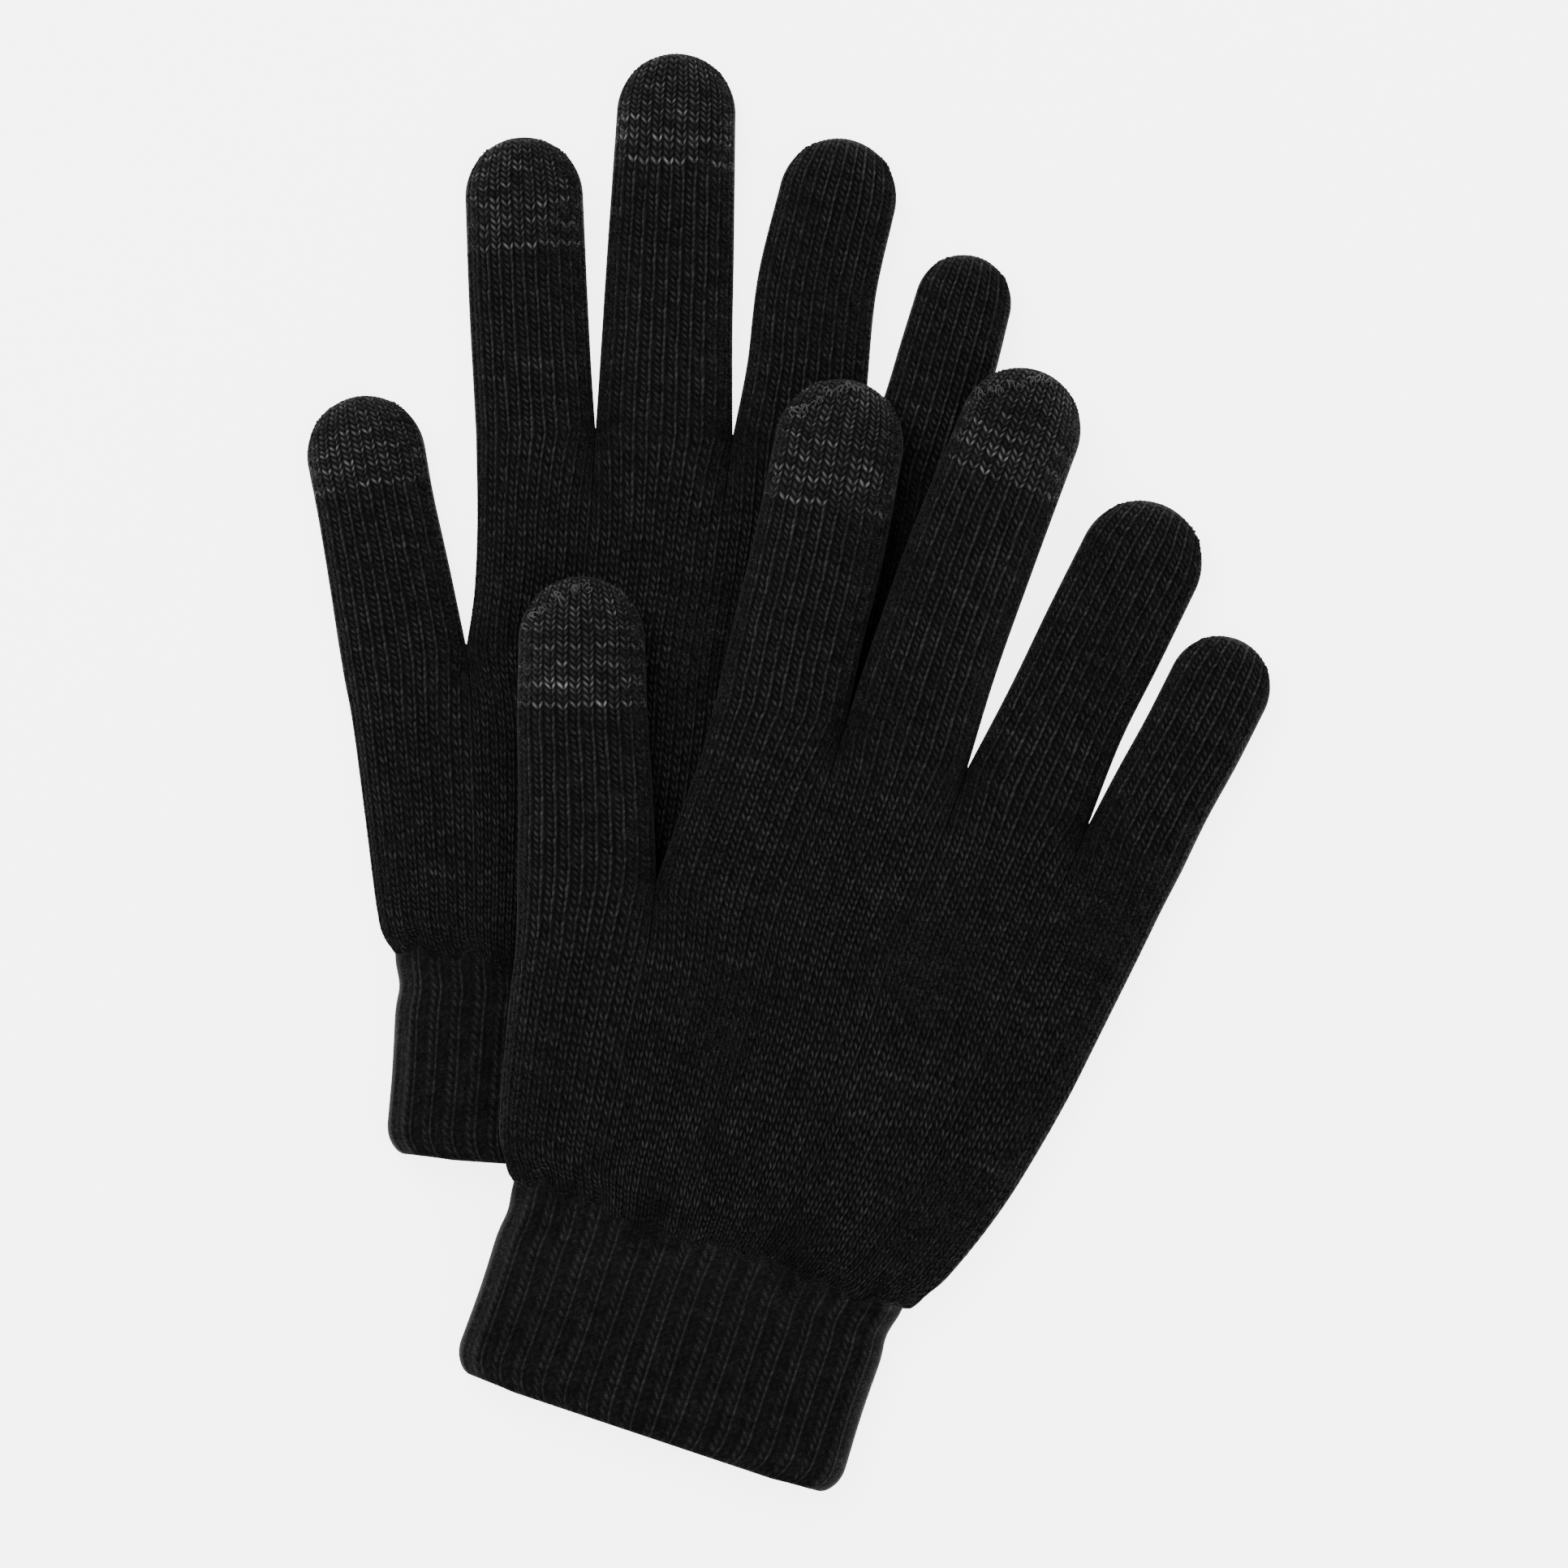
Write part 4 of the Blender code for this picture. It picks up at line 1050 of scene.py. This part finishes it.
def closing_loops(strip, seed):
    """Loose bright loops of conductive yarn, where a tip was closed, along its left and top edge."""
    random = np.random.default_rng(seed)
    points, faces = [], []
    size = LOOP_POINTS * LOOP_SIDES
    for k in range(LOOPS):
        share = k / (LOOPS - 1)
        column = int((1.5 + 5.4 * share ** 1.1 + random.normal(0, 0.3)) * len(LEG_COLUMNS))
        row = strip.courses - 8.2 + 5.6 * min(1.0, share * 1.3) + random.normal(0, 0.35)
        row = int(row * SUB_ROWS)
        normal = strip.top_normal[row, column]
        centre = strip.top[row, column] + normal * 0.3
        ahead = unit(strip.top[row + 3, column] - strip.top[row, column])
        across = np.cross(ahead, normal)
        turn = random.normal(0.9 * (1 - share), 0.5)
        ahead, across = (ahead * math.cos(turn) - across * math.sin(turn),
                         across * math.cos(turn) + ahead * math.sin(turn))
        length, width = random.uniform(1.3, 2.1), random.uniform(0.7, 1.0)
        angle = (np.linspace(-0.15, 1.15, LOOP_POINTS) * math.pi)[:, None]
        line = (centre + across * (np.cos(angle) * width * 0.6)
                + ahead * ((np.sin(angle) - 0.4) * length * 0.6) + normal * (np.sin(angle) * 0.25))
        points.append(yarn_tube(line).reshape(-1, 3))
        grid = k * size + np.arange(size).reshape(LOOP_POINTS, LOOP_SIDES)
        turned = np.roll(grid, -1, axis=1)
        faces.append(np.stack([grid[:-1], turned[:-1], turned[1:], grid[1:]], -1).reshape(-1, 4))
    number = np.arange(LOOPS * size)
    values = {
        "relief": np.full(len(number), 0.95), "tone": random.normal(0, 1, LOOPS).repeat(size),
        "plated": np.full(len(number), 0.3), "clear": np.ones(len(number)),
        "wale": number % 7 * 0.3, "course": number / LOOP_SIDES * 0.2,
    }
    return np.concatenate(points), np.concatenate(faces), [], values


# ---- building the gloves ---------------------------------------------------------------------------
def bend_at(name, first_row, a, b):
    """The bodies a and b, and where a bend between them over a hinge starts, just past all of a row of
    stitches, and ends.
    """
    hinge = joint(name)
    pivot = np.array(hinge["pos_m"])
    forward = unit(np.cross((0.0, 0.0, 1.0), hinge["axis"]))
    start = float(((in_metres(first_row) - pivot) @ forward).max()) + 0.2 * MM
    return a, b, tuple(pivot + forward * start), tuple(pivot + forward * (start + BEND_LENGTH * MM))


def add_piece(node, shell, yarn, carrier, kind="knit"):
    """A visible piece in place of a CAD node. Its carrier is a body it is attached to, or a bend
    between two, in which case it is only baked in place.
    """
    material, slot = yarn
    piece = make_mesh(f"{node}_{kind}", shell, material)
    if isinstance(carrier, str):
        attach(piece, carrier)
    else:
        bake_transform(piece)
    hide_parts(node)


def build_digit(glove, digit, hand, seed):
    """A digit below and past its knuckle, in pieces split at its root and knuckle, with its conductive
    tip.
    """
    strip = glove.strips[digit]
    name = f"{glove.name}_{digit}"
    root, knuckle = strip.root * SUB_ROWS, glove.knuckle(digit) * SUB_ROWS
    tip, last = glove.tip_start(digit) * SUB_ROWS, strip.courses * SUB_ROWS

    lower, carrier = hand, hand
    if name not in FIXED_ROOTS:
        lower = name
        carrier = bend_at(f"{name}_root", strip.top[root], hand, lower)
    add_piece(f"{name}_base", glove.tube([digit], root, knuckle), BLACK, carrier)

    carrier = bend_at(f"{name}_knuckle", strip.top[knuckle], lower, f"{name}_fore")
    if digit in CONDUCTIVE:
        add_piece(f"{name}_end", glove.tube([digit], knuckle, tip), BLACK, carrier)
        add_piece(f"{name}_tip", glove.tube([digit], tip, last, closed=True), PLATED, carrier)
        if glove.name == "over":
            loops = closing_loops(strip, seed + 30 + DIGITS.index(digit))
            add_piece(f"{name}_tip", loops, PLATED, carrier, "loops")
    else:
        add_piece(f"{name}_end", glove.tube([digit], knuckle, last, closed=True), BLACK, carrier)


def build_glove(name, seed):
    glove = Glove(name, seed)
    hand = f"{name}_hand"
    crotch = LOWER_COURSES * SUB_ROWS
    roots = (LOWER_COURSES + UPPER_COURSES) * SUB_ROWS
    add_piece(f"{name}_palm_lower", glove.tube(DIGITS, 0, crotch), BLACK, hand)
    add_piece(f"{name}_palm_upper", glove.tube(FINGERS, crotch, roots), BLACK, hand)
    add_piece(f"{name}_cuff", cuff_shell(glove, 0.0, -CUFF_LENGTH, False, seed + 50), RIB, hand)
    add_piece(f"{name}_cuff_hem", cuff_shell(glove, -CUFF_LENGTH, HEM_END, True, seed + 50), RIB, hand)
    for digit in DIGITS:
        build_digit(glove, digit, hand, seed)
    elastic = frame["nodes"][f"{name}_cuff_elastic"]
    elastic.data.materials.clear()
    elastic.data.materials.append(ELASTIC)


build_glove("under", 11)
build_glove("over", 71)


# ---- floor, light and camera, metres ---------------------------------------------------------------
CAMERA_HEIGHT = 2.6
VIEW_WIDTH = 0.3091
VIEW_CENTRE = (-0.00104, -0.00248)       # in the pair's plan


def floor_material():
    n = Nodes("pale_floor")
    grain = n.noise(n.object_place(), 30.0, 2.0)
    shades = n.ramp(grain, [(0.0, (0.86, 0.86, 0.86)), (1.0, (0.9, 0.9, 0.9))])
    n.link(shades, n.shader.inputs["Base Color"])
    n.settings({"Roughness": 0.9, "Specular IOR Level": 0.1,
                "Emission Color": (1.0, 1.0, 1.0, 1.0), "Emission Strength": 4.5})
    return n.material


def make_floor():
    bpy.ops.mesh.primitive_plane_add(size=6.0, location=(0, 0, -0.0004))
    floor = bpy.context.object
    floor.name = "floor"
    floor.data.materials.append(floor_material())


def make_area(name, place, size, energy):
    light = bpy.data.lights.new(name, "AREA")
    light.shape = "DISK"
    light.size = size
    light.energy = energy
    obj = bpy.data.objects.new(name, light)
    obj.location = place
    obj.rotation_euler = (-Vector(place)).to_track_quat("-Z", "Y").to_euler()
    bpy.context.scene.collection.objects.link(obj)


def make_world():
    world = bpy.data.worlds.new("studio")
    world.use_nodes = True
    background = world.node_tree.nodes["Background"]
    background.inputs["Color"].default_value = (1.0, 1.0, 1.0, 1.0)
    background.inputs["Strength"].default_value = 1.1
    bpy.context.scene.world = world


def make_camera():
    """Straight down from far above, with the pair filling the frame as it lies."""
    data = bpy.data.cameras.new("camera")
    data.sensor_width = 36.0
    data.lens = data.sensor_width * CAMERA_HEIGHT / VIEW_WIDTH
    data.clip_end = 20.0
    camera = bpy.data.objects.new("camera", data)
    camera.location = (VIEW_CENTRE[0] - SHIFT[0], VIEW_CENTRE[1] - SHIFT[1], CAMERA_HEIGHT)
    bpy.context.scene.collection.objects.link(camera)
    bpy.context.scene.camera = camera


make_floor()
make_area("key", (-0.7, 0.9, 1.5), 1.2, 34.0)
make_area("fill", (0.9, -0.5, 1.6), 1.6, 12.0)
make_world()
make_camera()
